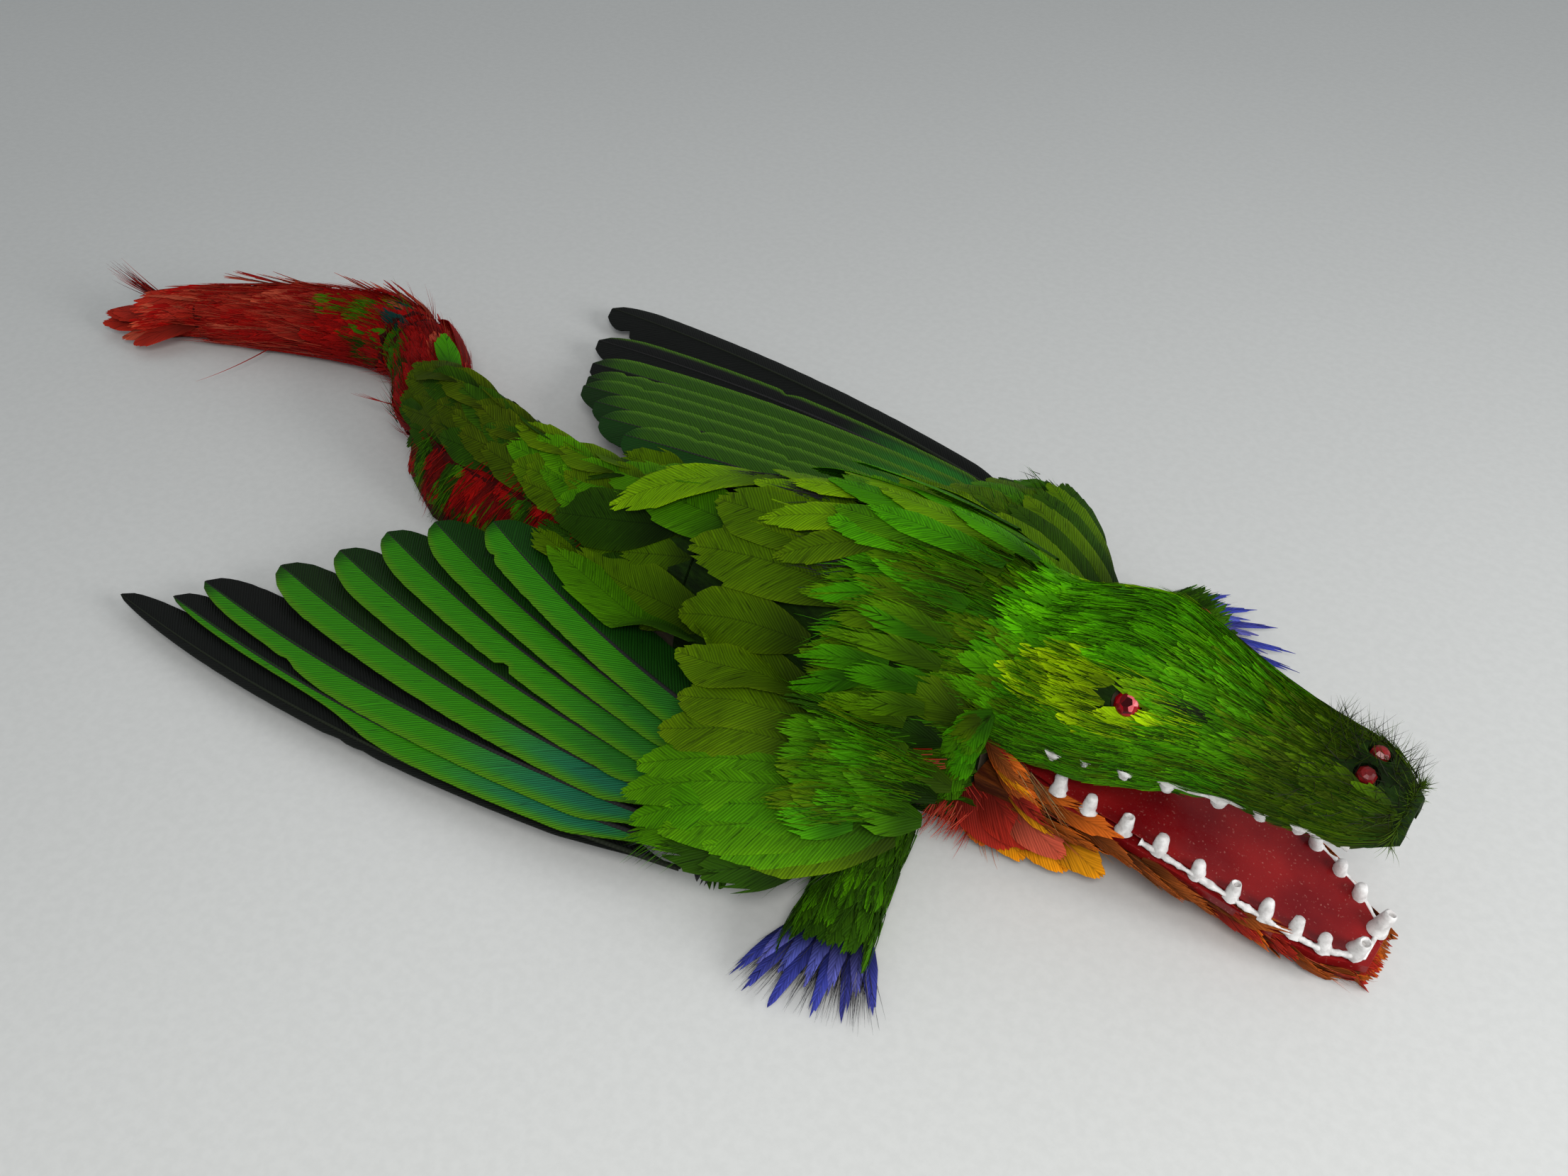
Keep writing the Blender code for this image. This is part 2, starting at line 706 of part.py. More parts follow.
def make_leg(side, sign, forward, turn, body):
    """A foreleg: a peg from the body, a flattened sleeve of plumage and a fan of blue feathers.

    The fan turns by turn from the leg's line."""
    root = Vector(((13 + 0.4 * forward) * MM, sign * 12 * MM, 4.6 * MM))
    foot = Vector(((21 + forward) * MM, sign * 40 * MM, 3.8 * MM))
    run = foot - root
    along = run.normalized()
    up = Vector((0, 0, 1))
    across = along.cross(up).normalized()
    upright = across.cross(along)
    peg_radius = 1.7 * MM
    peg = [
        ring(root + run * t, across, upright, peg_radius, peg_radius, 10) for t in spread(0, 1, 4)
    ]
    loft(f"{side}_leg_peg", peg, "moulded_core")
    cut(body, cutter(f"{side}_leg_socket", root - along * MM, root + run * 0.5, peg_radius + GAP))

    outer, inner = [], []
    for t in spread(0.34, 0.985, 7):
        middle = root + run * t
        width = (4.4 + 0.9 * (2 * t - 1) ** 2) * MM
        height = 3.3 * MM
        outer.append(ring(middle, across, upright, width, height, 14))
        hollow = peg_radius + GAP
        inner.append(ring(middle, across, upright, hollow, hollow, 14))
    slab(f"{side}_leg_feathers", outer, inner, "green_feathers", closed_across=True)

    heading = math.atan2(along.y, along.x)
    toes, half_angle = 5, math.radians(52)
    tops, bottoms = [], []
    start = foot + along * GAP * 2
    for angle in spread(-half_angle, half_angle, 4 * toes + 1):
        share = (angle + half_angle) / (2 * half_angle)
        finger = abs(math.sin(math.pi * toes * share)) ** 0.7
        length = (4.2 + 6.6 * finger) * MM
        aim = heading + turn + angle
        ray = Vector((math.cos(aim), math.sin(aim), 0))
        hub = start + across * (-4.6 * MM * math.sin(angle))
        near = Vector((hub.x, hub.y, 2.6 * MM)) + ray * 0.3 * MM
        far = Vector((hub.x, hub.y, 1.3 * MM)) + ray * length
        tops.append([near, near.lerp(far, 0.5) + up * 0.5 * MM, far])
        bottoms.append([p - up * 1.1 * MM for p in tops[-1]])
    slab(f"{side}_toe_feathers", tops, bottoms, "blue_feathers")


# ---------------------------------------------------------------- assembly


def rest_on_origin():
    """Moves every piece so that the origin is the bottom centre of the whole figure."""
    bpy.context.view_layer.update()
    graph = bpy.context.evaluated_depsgraph_get()
    low, high = Vector((1e9,) * 3), Vector((-1e9,) * 3)
    for obj in bpy.context.scene.objects:
        if obj.hide_render:
            continue
        for corner in obj.evaluated_get(graph).bound_box:
            low = Vector(map(min, low, corner))
            high = Vector(map(max, high, corner))
    shift = Vector((-(low.x + high.x) / 2, -(low.y + high.y) / 2, -low.z))
    for obj in bpy.context.scene.objects:
        obj.location = shift


def main():
    for obj in list(bpy.data.objects):
        bpy.data.objects.remove(obj)
    body, _ = make_cores()
    make_mouth()
    make_jaw_plumage()
    make_head_plumage()
    make_body_plumage()
    make_tail(body)
    make_wing("right", -1, RIGHT_FEATHERS, body)
    make_wing("left", 1, LEFT_FEATHERS, body)
    make_leg("right", -1, 0, 0.0, body)
    make_leg("left", 1, 9, math.radians(-30), body)
    rest_on_origin()


main()
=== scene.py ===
"""Looks of the feather alebrije: every feather, barb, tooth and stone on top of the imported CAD."""

import math

import bpy
import numpy as np
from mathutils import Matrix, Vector
from mathutils.bvhtree import BVHTree


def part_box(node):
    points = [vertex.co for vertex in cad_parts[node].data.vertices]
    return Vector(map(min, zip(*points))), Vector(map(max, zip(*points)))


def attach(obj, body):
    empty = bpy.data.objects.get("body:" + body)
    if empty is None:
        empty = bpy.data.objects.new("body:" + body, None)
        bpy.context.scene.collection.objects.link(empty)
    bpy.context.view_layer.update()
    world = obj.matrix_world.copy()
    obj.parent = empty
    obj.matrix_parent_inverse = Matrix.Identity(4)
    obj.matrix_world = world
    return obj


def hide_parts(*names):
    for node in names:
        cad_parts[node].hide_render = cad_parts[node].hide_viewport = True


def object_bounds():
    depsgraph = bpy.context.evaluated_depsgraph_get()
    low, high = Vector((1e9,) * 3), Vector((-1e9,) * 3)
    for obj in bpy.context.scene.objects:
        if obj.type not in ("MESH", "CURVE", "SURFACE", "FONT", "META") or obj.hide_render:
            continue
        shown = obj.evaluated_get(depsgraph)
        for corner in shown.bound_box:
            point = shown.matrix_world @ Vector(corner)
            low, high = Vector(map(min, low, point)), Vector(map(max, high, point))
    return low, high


MM = 0.001
SHEET = 0.07  # a body feather's thickness in millimetres
NOTHING = -100.0  # a height in millimetres that stands for no surface
rng = np.random.default_rng(11)

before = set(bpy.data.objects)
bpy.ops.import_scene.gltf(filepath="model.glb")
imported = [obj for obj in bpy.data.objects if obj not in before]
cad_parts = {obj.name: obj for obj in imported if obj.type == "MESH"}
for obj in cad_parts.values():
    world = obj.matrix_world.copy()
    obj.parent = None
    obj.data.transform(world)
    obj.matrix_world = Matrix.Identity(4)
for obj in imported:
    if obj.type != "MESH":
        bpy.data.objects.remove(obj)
CAD_LOW, CAD_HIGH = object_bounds()

# The CAD's modelling origin: between the wrists, on the table. Its belly starts 62 mm behind it.
belly_low, belly_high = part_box("belly_feathers")
ORIGIN = Vector((belly_low.x + 62 * MM, (belly_low.y + belly_high.y) / 2, belly_low.z))


def at(x, y, z):
    """A place in the figure, in millimetres from the CAD's modelling origin."""
    return ORIGIN + Vector((x, y, z)) * MM


SIDES = (("right", -1), ("left", 1))

# Colours are linear RGB.
LEAF = (0.046, 0.168, 0.0006)
GRASS = (0.046, 0.230, 0.0006)
OLIVE = (0.058, 0.126, 0.0004)
DEEP = (0.016, 0.052, 0.001)
LIME = (0.125, 0.280, 0.001)
MOSS = (0.042, 0.080, 0.002)
EYE_YELLOW = (0.300, 0.520, 0.001)
CROWN_GREEN = (0.095, 0.430, 0.0008)
CHEEK_GREEN = (0.068, 0.260, 0.0006)
MANTLE_GREEN = (0.074, 0.190, 0.0006)
NECK_GREEN = (0.070, 0.185, 0.0006)
LEG_GREEN = (0.026, 0.088, 0.0006)
HIND_OLIVE = (0.036, 0.066, 0.0006)
SCARLET = (0.290, 0.004, 0.003)
RED = (0.330, 0.020, 0.011)
SALMON = (0.430, 0.066, 0.034)
CRIMSON = (0.170, 0.005, 0.004)
DARK_RED = (0.140, 0.005, 0.004)
BLACK_RED = (0.120, 0.004, 0.003)
FILAMENT_RED = (0.300, 0.018, 0.014)
ORANGE = (0.500, 0.105, 0.010)
AMBER = (0.620, 0.230, 0.004)
RUST = (0.290, 0.064, 0.010)
BROWN = (0.140, 0.065, 0.025)
BLUE = (0.042, 0.052, 0.310)
PALE_BLUE = (0.090, 0.100, 0.400)
SLATE = (0.034, 0.034, 0.037)
PEACOCK = (0.006, 0.042, 0.036)
TEAL = (0.012, 0.130, 0.060)
BLACK = (0.004, 0.005, 0.004)
DARK_SHAFT = (0.02, 0.02, 0.02)
GREEN_SHAFT = (0.016, 0.020, 0.012)


# ---------------------------------------------------------------- surfaces taken from the CAD


def points_of(node):
    """The corners of a CAD node, in millimetres from the modelling origin."""
    return np.array([(v.co - ORIGIN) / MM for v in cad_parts[node].data.vertices])


def tree_of(nodes):
    """A search tree of some CAD nodes' faces."""
    points, faces = [], []
    for name in nodes:
        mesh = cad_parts[name].data
        start = len(points)
        points += [v.co.copy() for v in mesh.vertices]
        faces += [[start + i for i in p.vertices] for p in mesh.polygons]
    return BVHTree.FromPolygons(points, faces)


def blurred(table, rounds):
    """A table smoothed with its neighbours some times over."""
    for _ in range(rounds):
        pad = np.pad(table, 1, mode="edge")
        ring = pad[:-2, 1:-1] + pad[2:, 1:-1] + pad[1:-1, :-2] + pad[1:-1, 2:]
        table = (pad[1:-1, 1:-1] * 2 + ring) / 6
    return table


def sampled(table, i, j):
    """A table's value between its cells, held at its edges."""
    i = min(max(i, 0.0), table.shape[0] - 1.001)
    j = min(max(j, 0.0), table.shape[1] - 1.001)
    a, b = int(i), int(j)
    u, v = i - a, j - b
    low = table[a, b] * (1 - v) + table[a, b + 1] * v
    high = table[a + 1, b] * (1 - v) + table[a + 1, b + 1] * v
    return low * (1 - u) + high * u


class Height:
    """The top of some CAD nodes above the table, by x and y in millimetres.

    Beyond the nodes it slopes gently down to a floor."""

    SLOPE, REACH, FLOOR, ROUNDS = 0.4, 40, 1.5, 4

    def __init__(self, nodes, x_range, y_range):
        tree = tree_of(nodes)
        self.x0, self.y0 = x_range[0], y_range[0]
        table = np.full((x_range[1] - x_range[0] + 1, y_range[1] - y_range[0] + 1), NOTHING)
        for i in range(table.shape[0]):
            for j in range(table.shape[1]):
                start = at(self.x0 + i, self.y0 + j, 100)
                hit = tree.ray_cast(start, Vector((0, 0, -1)))[0]
                if hit:
                    table[i, j] = (hit - ORIGIN).z / MM
        for _ in range(self.REACH):
            pad = np.pad(table, 1, mode="edge")
            near = np.max([pad[:-2, 1:-1], pad[2:, 1:-1], pad[1:-1, :-2], pad[1:-1, 2:]], 0)
            table = np.where(table < 0, np.maximum(near - self.SLOPE, NOTHING), table)
        self.table = blurred(np.maximum(table, self.FLOOR), self.ROUNDS)

    def point(self, x, y):
        return at(x, y, sampled(self.table, x - self.x0, y - self.y0))

    def outward(self, x, y):
        return Vector((0, 0, 1))

    def units(self, x, y):
        return 1.0, 1.0


class Round:
    """The outside of some CAD nodes round an axis, by the place along it and the angle in degrees.

    Angle 0 points up, and a positive angle turns towards the side vector."""

    STEP, CAP = 5, 40.0

    def __init__(self, nodes, start, end, middle, side=None, up=None, rounds=2):
        tree = tree_of(nodes)
        self.start, self.middle = start, middle
        self.side = side or Vector((0, 1, 0))
        self.up = up or Vector((0, 0, 1))
        rows, columns = int(end - start) + 1, 360 // self.STEP + 1
        table = np.full((rows, columns), np.nan)
        for i in range(rows):
            for j in range(columns):
                out = self.direction(-180 + self.STEP * j)
                centre = middle(start + i)
                hit = tree.ray_cast(centre + out * 0.1, -out)[0]
                if hit and (hit - centre).dot(out) > 0:
                    table[i, j] = min((hit - centre).dot(out) / MM, self.CAP)
        for line in (*table, *table.T):
            known = ~np.isnan(line)
            if known.any():
                line[:] = np.interp(np.arange(len(line)), np.nonzero(known)[0], line[known])
        self.table = blurred(table, rounds)

    def direction(self, angle):
        a = math.radians(angle)
        return self.side * math.sin(a) + self.up * math.cos(a)

    def radius(self, t, angle):
        return sampled(self.table, t - self.start, (angle + 180) / self.STEP)

    def point(self, t, angle):
        return self.middle(t) + self.direction(angle) * self.radius(t, angle) * MM

    def outward(self, t, angle):
        return self.direction(angle)

    def units(self, t, angle):
        return 1.0, math.degrees(1 / max(self.radius(t, angle), 2.0))


# ---------------------------------------------------------------- feathers


class Plume:
    """Collects feathers and loose barbs, then builds them as one mesh of thin closed shapes."""

    def __init__(self):
        self.points, self.faces, self.place, self.size, self.tint = [], [], [], [], []
        self.count = 0

    def sheet(self, top, bottom, place, size, tint):
        """A closed thin shape between two grids of points, with the grids' attributes."""
        rows, columns = top.shape[:2]
        n = rows * columns
        index = np.arange(n).reshape(rows, columns) + self.count
        a, b = index[:-1, :-1].ravel(), index[:-1, 1:].ravel()
        c, d = index[1:, 1:].ravel(), index[1:, :-1].ravel()
        ring = np.concatenate([index[0, :-1], index[:-1, -1], index[-1, :0:-1], index[:0:-1, 0]])
        after = np.roll(ring, -1)
        self.faces += [
            np.stack([a, d, c, b], 1),
            np.stack([a + n, b + n, c + n, d + n], 1),
            np.stack([ring, after, after + n, ring + n], 1),
        ]
        self.points += [top.reshape(-1, 3), bottom.reshape(-1, 3)]
        self.place += [place.reshape(-1, 3)] * 2
        self.size += [size.reshape(-1, 3)] * 2
        self.tint.append(np.tile((*tint, 1.0), (2 * n, 1)))
        self.count += 2 * n

    def barb(self, start, direction, bend, length, radius, tint, segments=4):
        """A loose barb or bristle: a thin three-sided spike that bends towards bend."""
        direction = Vector(direction).normalized()
        across = direction.orthogonal().normalized()
        other = direction.cross(across)
        t = np.linspace(0, 1, segments + 1)
        path = (
            np.array(start)[None]
            + np.array(direction)[None] * (t * length * MM)[:, None]
            + np.array(bend)[None] * (t**2 * length * MM)[:, None]
        )
        thick = radius * MM * (1 - 0.93 * t)
        angles = np.arange(3) * 2 * math.pi / 3
        ring = np.cos(angles)[:, None] * np.array(across) + np.sin(angles)[:, None] * np.array(other)
        corners = path[:, None, :] + ring[None] * thick[:, None, None]
        n = 3 * len(t)
        index = np.arange(n).reshape(-1, 3) + self.count
        near, far = index[:-1], index[1:]
        quads = np.stack([near, np.roll(near, -1, 1), np.roll(far, -1, 1), far], 2)
        self.faces += [quads.reshape(-1, 4), index[:1, ::-1], index[-1:]]
        self.points.append(corners.reshape(-1, 3))
        v = np.repeat(t, 3)
        self.place.append(np.stack([np.zeros(n), v, np.full(n, rng.random())], 1))
        self.size.append(np.stack([np.zeros(n), v * length, np.zeros(n)], 1))
        self.tint.append(np.tile((*tint, 1.0), (n, 1)))
        self.count += n

    def vane(self, path, normals, length, width, tint, lift=(0.1, 0.7), fray=0.3,
             rows=8, columns=13, point=0.3, camber=0.1, root=0.3):
        """A feather along a path, in millimetres.

        Lift is how far its root and its tip stand off the path. Fray is how deep the tip's barbs part,
        point how far its corners fall back, and root the width at the quill's end."""
        path, normals = np.array(path), np.array(normals)
        sides = np.cross(normals, np.gradient(path, axis=0))
        sides /= np.linalg.norm(sides, axis=1)[:, None]
        u = np.linspace(-1, 1, columns)
        comb = rng.random(columns) * np.where(np.arange(columns) % 2, 1.0, 0.2)
        ends = 1 - point * np.abs(u) ** 2.4 - fray * comb
        s = np.linspace(0, 1, rows)[:, None] * ends[None]
        swell = root + (1 - root) * np.sin(np.clip(s / 0.5, 0, 1) * math.pi / 2)
        taper = 1 - 0.35 * np.clip((s - 0.6) / 0.4, 0, 1) ** 2
        across = u[None] * width / 2 * swell * taper
        ripple = rng.normal(0, 0.03, columns)[None] * s**2
        rise = lift[0] + (lift[1] - lift[0]) * s**1.3 - camber * width / 2 * u[None] ** 2 + ripple
        grid = np.linspace(0, 1, len(path))

        def along(values):
            return np.stack([np.interp(s, grid, values[:, k]) for k in range(3)], -1)

        normal = along(normals)
        top = along(path) + along(sides) * across[..., None] * MM + normal * rise[..., None] * MM
        place = np.stack([np.broadcast_to(u[None], s.shape), s, np.full(s.shape, rng.random())], -1)
        size = np.stack([across, s * length, np.zeros(s.shape)], -1)
        self.sheet(top, top - normal * SHEET * MM, place, size, tint)

    def build(self, name, material, slot, *nodes):
        """Makes the mesh with its attributes, and places it."""
        mesh = bpy.data.meshes.new(name)
        faces = [row for block in self.faces for row in block.tolist()]
        points = np.concatenate(self.points)
        # feathers that reach the table bend flat on it
        above, bend = (points[:, 2] - CAD_LOW.z) / MM, 0.3
        flat = bend * bend / (2 * bend - np.minimum(above, bend))
        points[:, 2] = CAD_LOW.z + np.where(above < bend, flat, above) * MM
        mesh.from_pydata(points.tolist(), [], faces)
        for label, kind, values in (
            ("place", "FLOAT_VECTOR", self.place),
            ("size", "FLOAT_VECTOR", self.size),
            ("tint", "FLOAT_COLOR", self.tint),
        ):
            attribute = mesh.attributes.new(label, kind, "POINT")
            key = "color" if kind == "FLOAT_COLOR" else "vector"
            attribute.data.foreach_set(key, np.concatenate(values).astype(np.float32).ravel())
        mesh.shade_smooth()
        mesh.set_sharp_from_angle(angle=math.radians(60))
        return place_piece(name, mesh, material, slot, *nodes)


def linked(name, data):
    obj = bpy.data.objects.new(name, data)
    bpy.context.scene.collection.objects.link(obj)
    return obj


def place_piece(name, mesh, material, slot, *nodes):
    """A piece that belongs to the figure's one body, in place of some CAD nodes or on top of them."""
    mesh.materials.append(material)
    obj = linked(name, mesh)
    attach(obj, "root")
    if nodes:
        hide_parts(*nodes)
    return obj


def varied(tint, amount=0.12):
    """A colour a little lighter or darker, and a little warmer or cooler."""
    light = 1 + amount * rng.uniform(-1, 1)
    warm = 1 + amount * 0.6 * rng.uniform(-1, 1)
    return (tint[0] * light * warm, tint[1] * light, tint[2] * light / warm)


def pick(*choices):
    """One of some (colour, weight) pairs, slightly varied."""
    weights = np.array([weight for _, weight in choices], float)
    return varied(choices[rng.choice(len(choices), p=weights / weights.sum())][0])


SHARES = [k / 5 for k in range(6)]


def lay(plume, surface, p, q, heading, length, width, tint, **shape):
    """A feather laid on a surface from (p, q); heading turns in its plane, 0 along +p."""
    path, normals = [], []
    along_p, along_q = surface.units(p, q)
    turn = math.radians(heading)
    for share in SHARES:
        a = p + math.cos(turn) * length * share * along_p
        b = q + math.sin(turn) * length * share * along_q
        step_p = surface.point(a + 0.8, b) - surface.point(a - 0.8, b)
        step_q = surface.point(a, b + 0.8 * along_q) - surface.point(a, b - 0.8 * along_q)
        normal = step_p.cross(step_q).normalized()
        if normal.dot(surface.outward(a, b)) < 0:
            normal = -normal
        path.append(surface.point(a, b))
        normals.append(normal)
    plume.vane(path, normals, length, width, tint, **shape)


def lay_between(plume, surface, start, end, width, tint, **shape):
    """A feather laid on a height surface from one (x, y) to another."""
    run = (end[0] - start[0], end[1] - start[1])
    heading = math.degrees(math.atan2(run[1], run[0]))
    lay(plume, surface, *start, heading, math.hypot(*run), width, tint, **shape)


def hang(plume, start, end, facing, width, tint, bow=0.0, **shape):
    """A feather from one place to another in millimetres, with its upper side facing out."""
    start, end = Vector(start), Vector(end)
    facing = Vector(facing).normalized()
    run = end - start
    path = [at(*(start + run * t + facing * bow * 4 * t * (1 - t))) for t in SHARES]
    normal = (facing - run.normalized() * facing.dot(run.normalized())).normalized()
    plume.vane(path, [normal] * len(path), run.length, width, tint, **shape)


def strand(plume, surface, p, q, heading, length, tint, rise=0.15, lift=0.3, radius=0.08):
    """A loose barb that starts on a surface and lies along it."""
    along_p, along_q = surface.units(p, q)
    turn = math.radians(heading)
    here = surface.point(p, q)
    there = surface.point(p + math.cos(turn) * 2 * along_p, q + math.sin(turn) * 2 * along_q)
    out = surface.outward(p, q)
    direction = (there - here).normalized() + out * rise
    plume.barb(here + out * lift * MM, direction, out * -0.08, length, radius, tint)


def build_patch(name, plume, loose, slot, *nodes):
    """Builds a patch's feathers, and its loose barbs as a second piece."""
    plume.build(f"{name}_plumage", MATERIALS["contour"], slot, *nodes)
    loose.build(f"{name}_barbs", MATERIALS["hair"], slot)


def rows_of(p_range, p_step, q_of, q_step, jitter=0.25):
    """Feather places in staggered rows from one end of p_range to the other."""
    places = []
    count = max(int(round((p_range[1] - p_range[0]) / p_step)), 1)
    for i in range(count + 1):
        p = p_range[0] + (p_range[1] - p_range[0]) * i / count
        low, high = q_of(p)
        across = max(int(round((high - low) / q_step)), 1)
        for j in range(across + 1):
            q = low + (high - low) * (j + (0.5 if i % 2 else 0.0)) / across
            if q <= high:
                shift = jitter * rng.uniform(-1, 1, 2)
                places.append((p + p_step * shift[0], q + q_step * shift[1]))
    return places


# ---------------------------------------------------------------- materials


class Graph:
    """A short way to write a material's nodes."""

    INPUT_A, INPUT_B, RESULT = 6, 7, 2  # colour sockets of the mix node

    def __init__(self, name):
        self.material = bpy.data.materials.new(name)
        self.material.use_nodes = True
        self.tree = self.material.node_tree
        self.shader = self.tree.nodes["Principled BSDF"]

    def node(self, kind, settings=None, **inputs):
        made = self.tree.nodes.new(kind)
        for key, value in (settings or {}).items():
            setattr(made, key, value)
        for key, value in inputs.items():
            self.put(made.inputs[key], value)
        return made

    def put(self, socket, value):
        if isinstance(value, bpy.types.NodeSocket):
            self.tree.links.new(value, socket)
        elif value is not None:
            socket.default_value = value

    def math(self, operation, a, b=None, c=None):
        made = self.node("ShaderNodeMath", {"operation": operation})
        for socket, value in zip(made.inputs, (a, b, c)):
            self.put(socket, value)
        return made.outputs[0]

    def ramp(self, value, low, high):
        """0 at low, 1 at high, smooth between."""
        made = self.node("ShaderNodeMapRange", {"interpolation_type": "SMOOTHSTEP"})
        for socket, item in zip(made.inputs, (value, low, high, 0.0, 1.0)):
            self.put(socket, item)
        return made.outputs[0]

    def mix(self, factor, a, b, blend="MIX"):
        made = self.node("ShaderNodeMix", {"data_type": "RGBA", "blend_type": blend})
        self.put(made.inputs[0], factor)
        self.put(made.inputs[self.INPUT_A], a if isinstance(a, bpy.types.NodeSocket) else (*a, 1.0))
        self.put(made.inputs[self.INPUT_B], b if isinstance(b, bpy.types.NodeSocket) else (*b, 1.0))
        return made.outputs[self.RESULT]

    def scale(self, colour, factor):
        made = self.node("ShaderNodeVectorMath", {"operation": "SCALE"})
        self.put(made.inputs[0], colour)
        self.put(made.inputs[3], factor)
        return made.outputs[0]

    def noise(self, vector, scale, detail=2.0, roughness=0.5):
        settings = {"Vector": vector, "Scale": scale, "Detail": detail, "Roughness": roughness}
        return self.node("ShaderNodeTexNoise", **settings).outputs["Fac"]

    def vector(self, x, y, z=0.0):
        made = self.node("ShaderNodeCombineXYZ")
        for socket, value in zip(made.inputs, (x, y, z)):
            self.put(socket, value)
        return made.outputs[0]

    def split(self, name):
        source = self.node("ShaderNodeAttribute", {"attribute_name": name})
        return self.node("ShaderNodeSeparateXYZ", Vector=source.outputs["Vector"]).outputs

    def tint(self):
        return self.node("ShaderNodeAttribute", {"attribute_name": "tint"}).outputs["Color"]

    def object_place(self):
        return self.node("ShaderNodeTexCoord").outputs["Object"]

    def finish(self, colour, roughness, bump=None, strength=0.3, distance=0.1, **constants):
        self.put(self.shader.inputs["Base Color"], colour)
        self.put(self.shader.inputs["Roughness"], roughness)
        if bump is not None:
            made = self.node("ShaderNodeBump", Strength=strength, Distance=distance * MM, Height=bump)
            self.put(self.shader.inputs["Normal"], made.outputs[0])
        for key, value in constants.items():
            self.shader.inputs[key.replace("_", " ")].default_value = value
        return self.material


def vane_detail(g, spacing, slant, fineness):
    """Barb lines and streaks of a vane, from the feather's own millimetres.

    The barbs leave the shaft at a slant: a higher value lies them closer along it."""
    place, size = g.split("place"), g.split("size")
    across = g.math("ABSOLUTE", size[0])
    phase = g.math("SUBTRACT", size[1], g.math("MULTIPLY", across, slant))
    seed = g.math("MULTIPLY", place[2], 37.0)
    wander = g.noise(g.vector(g.math("MULTIPLY", size[0], 0.35), phase, seed), 0.6)
    shifted = g.math("ADD", phase, g.math("MULTIPLY", wander, 0.9))
    wave = g.math("SINE", g.math("MULTIPLY", shifted, 2 * math.pi / spacing))
    lines = g.math("MULTIPLY_ADD", wave, 0.5, 0.5)
    along = g.vector(g.math("MULTIPLY", size[0], 0.22), shifted, seed)
    streak = g.noise(along, fineness, 3.0, 0.6)
    return place, size, lines, streak


def contour_material(name, slant, spacing, barbs, split, covered_shade, covered, edge, fineness):
    """A body feather: painted shade where others cover it and in the splits between its barbs, with barb
    lines and a lighter rim.
    """
    g = Graph(name)
    place, size, lines, streak = vane_detail(g, spacing, slant, fineness)
    tint = g.tint()
    bright = g.mix(1.0, g.scale(tint, 1.5), (1.2, 1.0, 0.8), "MULTIPLY")
    dark = g.mix(0.2, g.scale(tint, 0.07), (0.003, 0.004, 0.002))
    outer = g.math("POWER", g.math("ABSOLUTE", place[0]), 5.0)
    tip = g.ramp(place[1], 0.80, 1.0)
    rim = g.math("MULTIPLY", g.math("MAXIMUM", outer, tip), edge)
    colour = g.mix(rim, tint, bright)
    # painted shade: darker towards the root, where the feathers laid over it would shade it
    covered_shade_mask = g.ramp(place[1], *covered)
    colour = g.mix(g.math("MULTIPLY", covered_shade_mask, covered_shade), colour, dark)
    colour = g.scale(colour, g.math("MULTIPLY_ADD", lines, -barbs, 1.0 + barbs * 0.5))
    # painted shade: the splits between the barbs turn dark
    gaps = g.math("MULTIPLY", g.ramp(streak, 0.57, 0.68), g.ramp(place[1], 0.15, 0.5))
    colour = g.mix(g.math("MULTIPLY", gaps, split), colour, dark)
    pale = g.ramp(streak, 0.45, 0.30)
    colour = g.scale(colour, g.math("MULTIPLY_ADD", pale, 0.35, 1.0))
    shaft = g.ramp(g.math("ABSOLUTE", size[0]), 0.16, 0.06)
    colour = g.mix(g.math("MULTIPLY", shaft, 0.3), colour, dark)
    relief = g.math("SUBTRACT", lines, g.math("MULTIPLY", gaps, 1.5))
    return g.finish(colour, 0.65, relief, 0.4, 0.12, Specular_IOR_Level=0.05)


def flight_material(name, outer, edge, inner, sheen, shaft=DARK_SHAFT):
    """Two-coloured vane: place x is 1 at the outer edge and -1 at the inner one."""
    g = Graph(name)
    place, size, lines, streak = vane_detail(g, 0.62, 1.25, 1.7)
    side = place[0]
    colour = g.mix(g.math("MULTIPLY", g.ramp(side, 0.62, 1.0), 0.75), outer, edge)
    blue = g.math("MULTIPLY", g.ramp(place[1], 0.05, 0.13), g.ramp(place[1], 0.45, 0.20))
    colour = g.mix(g.math("MULTIPLY", blue, g.ramp(side, 0.95, 0.45)), colour, sheen)
    colour = g.mix(g.ramp(side, 0.02, -0.06), colour, inner)
    tip = g.ramp(place[1], 0.94, 1.0)
    colour = g.mix(g.math("MULTIPLY", tip, 0.8), colour, inner)
    colour = g.scale(colour, g.math("MULTIPLY_ADD", lines, -0.75, 1.38))
    # painted shade: the splits between the barbs turn near-black
    gaps = g.ramp(streak, 0.64, 0.73)
    colour = g.mix(g.math("MULTIPLY", gaps, 0.55), colour, BLACK)
    colour = g.mix(g.ramp(size[2], 0.4, 0.6), colour, shaft)
    relief = g.math("SUBTRACT", lines, gaps)
    return g.finish(colour, 0.5, relief, 0.4, 0.14, Specular_IOR_Level=0.10)


def barb_material(name):
    """Loose barbs, darker at their roots as painted shade among the feathers, lighter towards their tips.
    """
    g = Graph(name)
    along = g.split("place")[1]
    fine = g.noise(g.object_place(), 900.0)
    colour = g.scale(g.tint(), g.math("MULTIPLY_ADD", fine, 0.6, 0.7))
    # painted shade: the root end is darkened, the tip end brightened
    colour = g.scale(colour, g.math("MULTIPLY_ADD", along, 0.8, 0.55))
    return g.finish(colour, 0.6, Specular_IOR_Level=0.06)


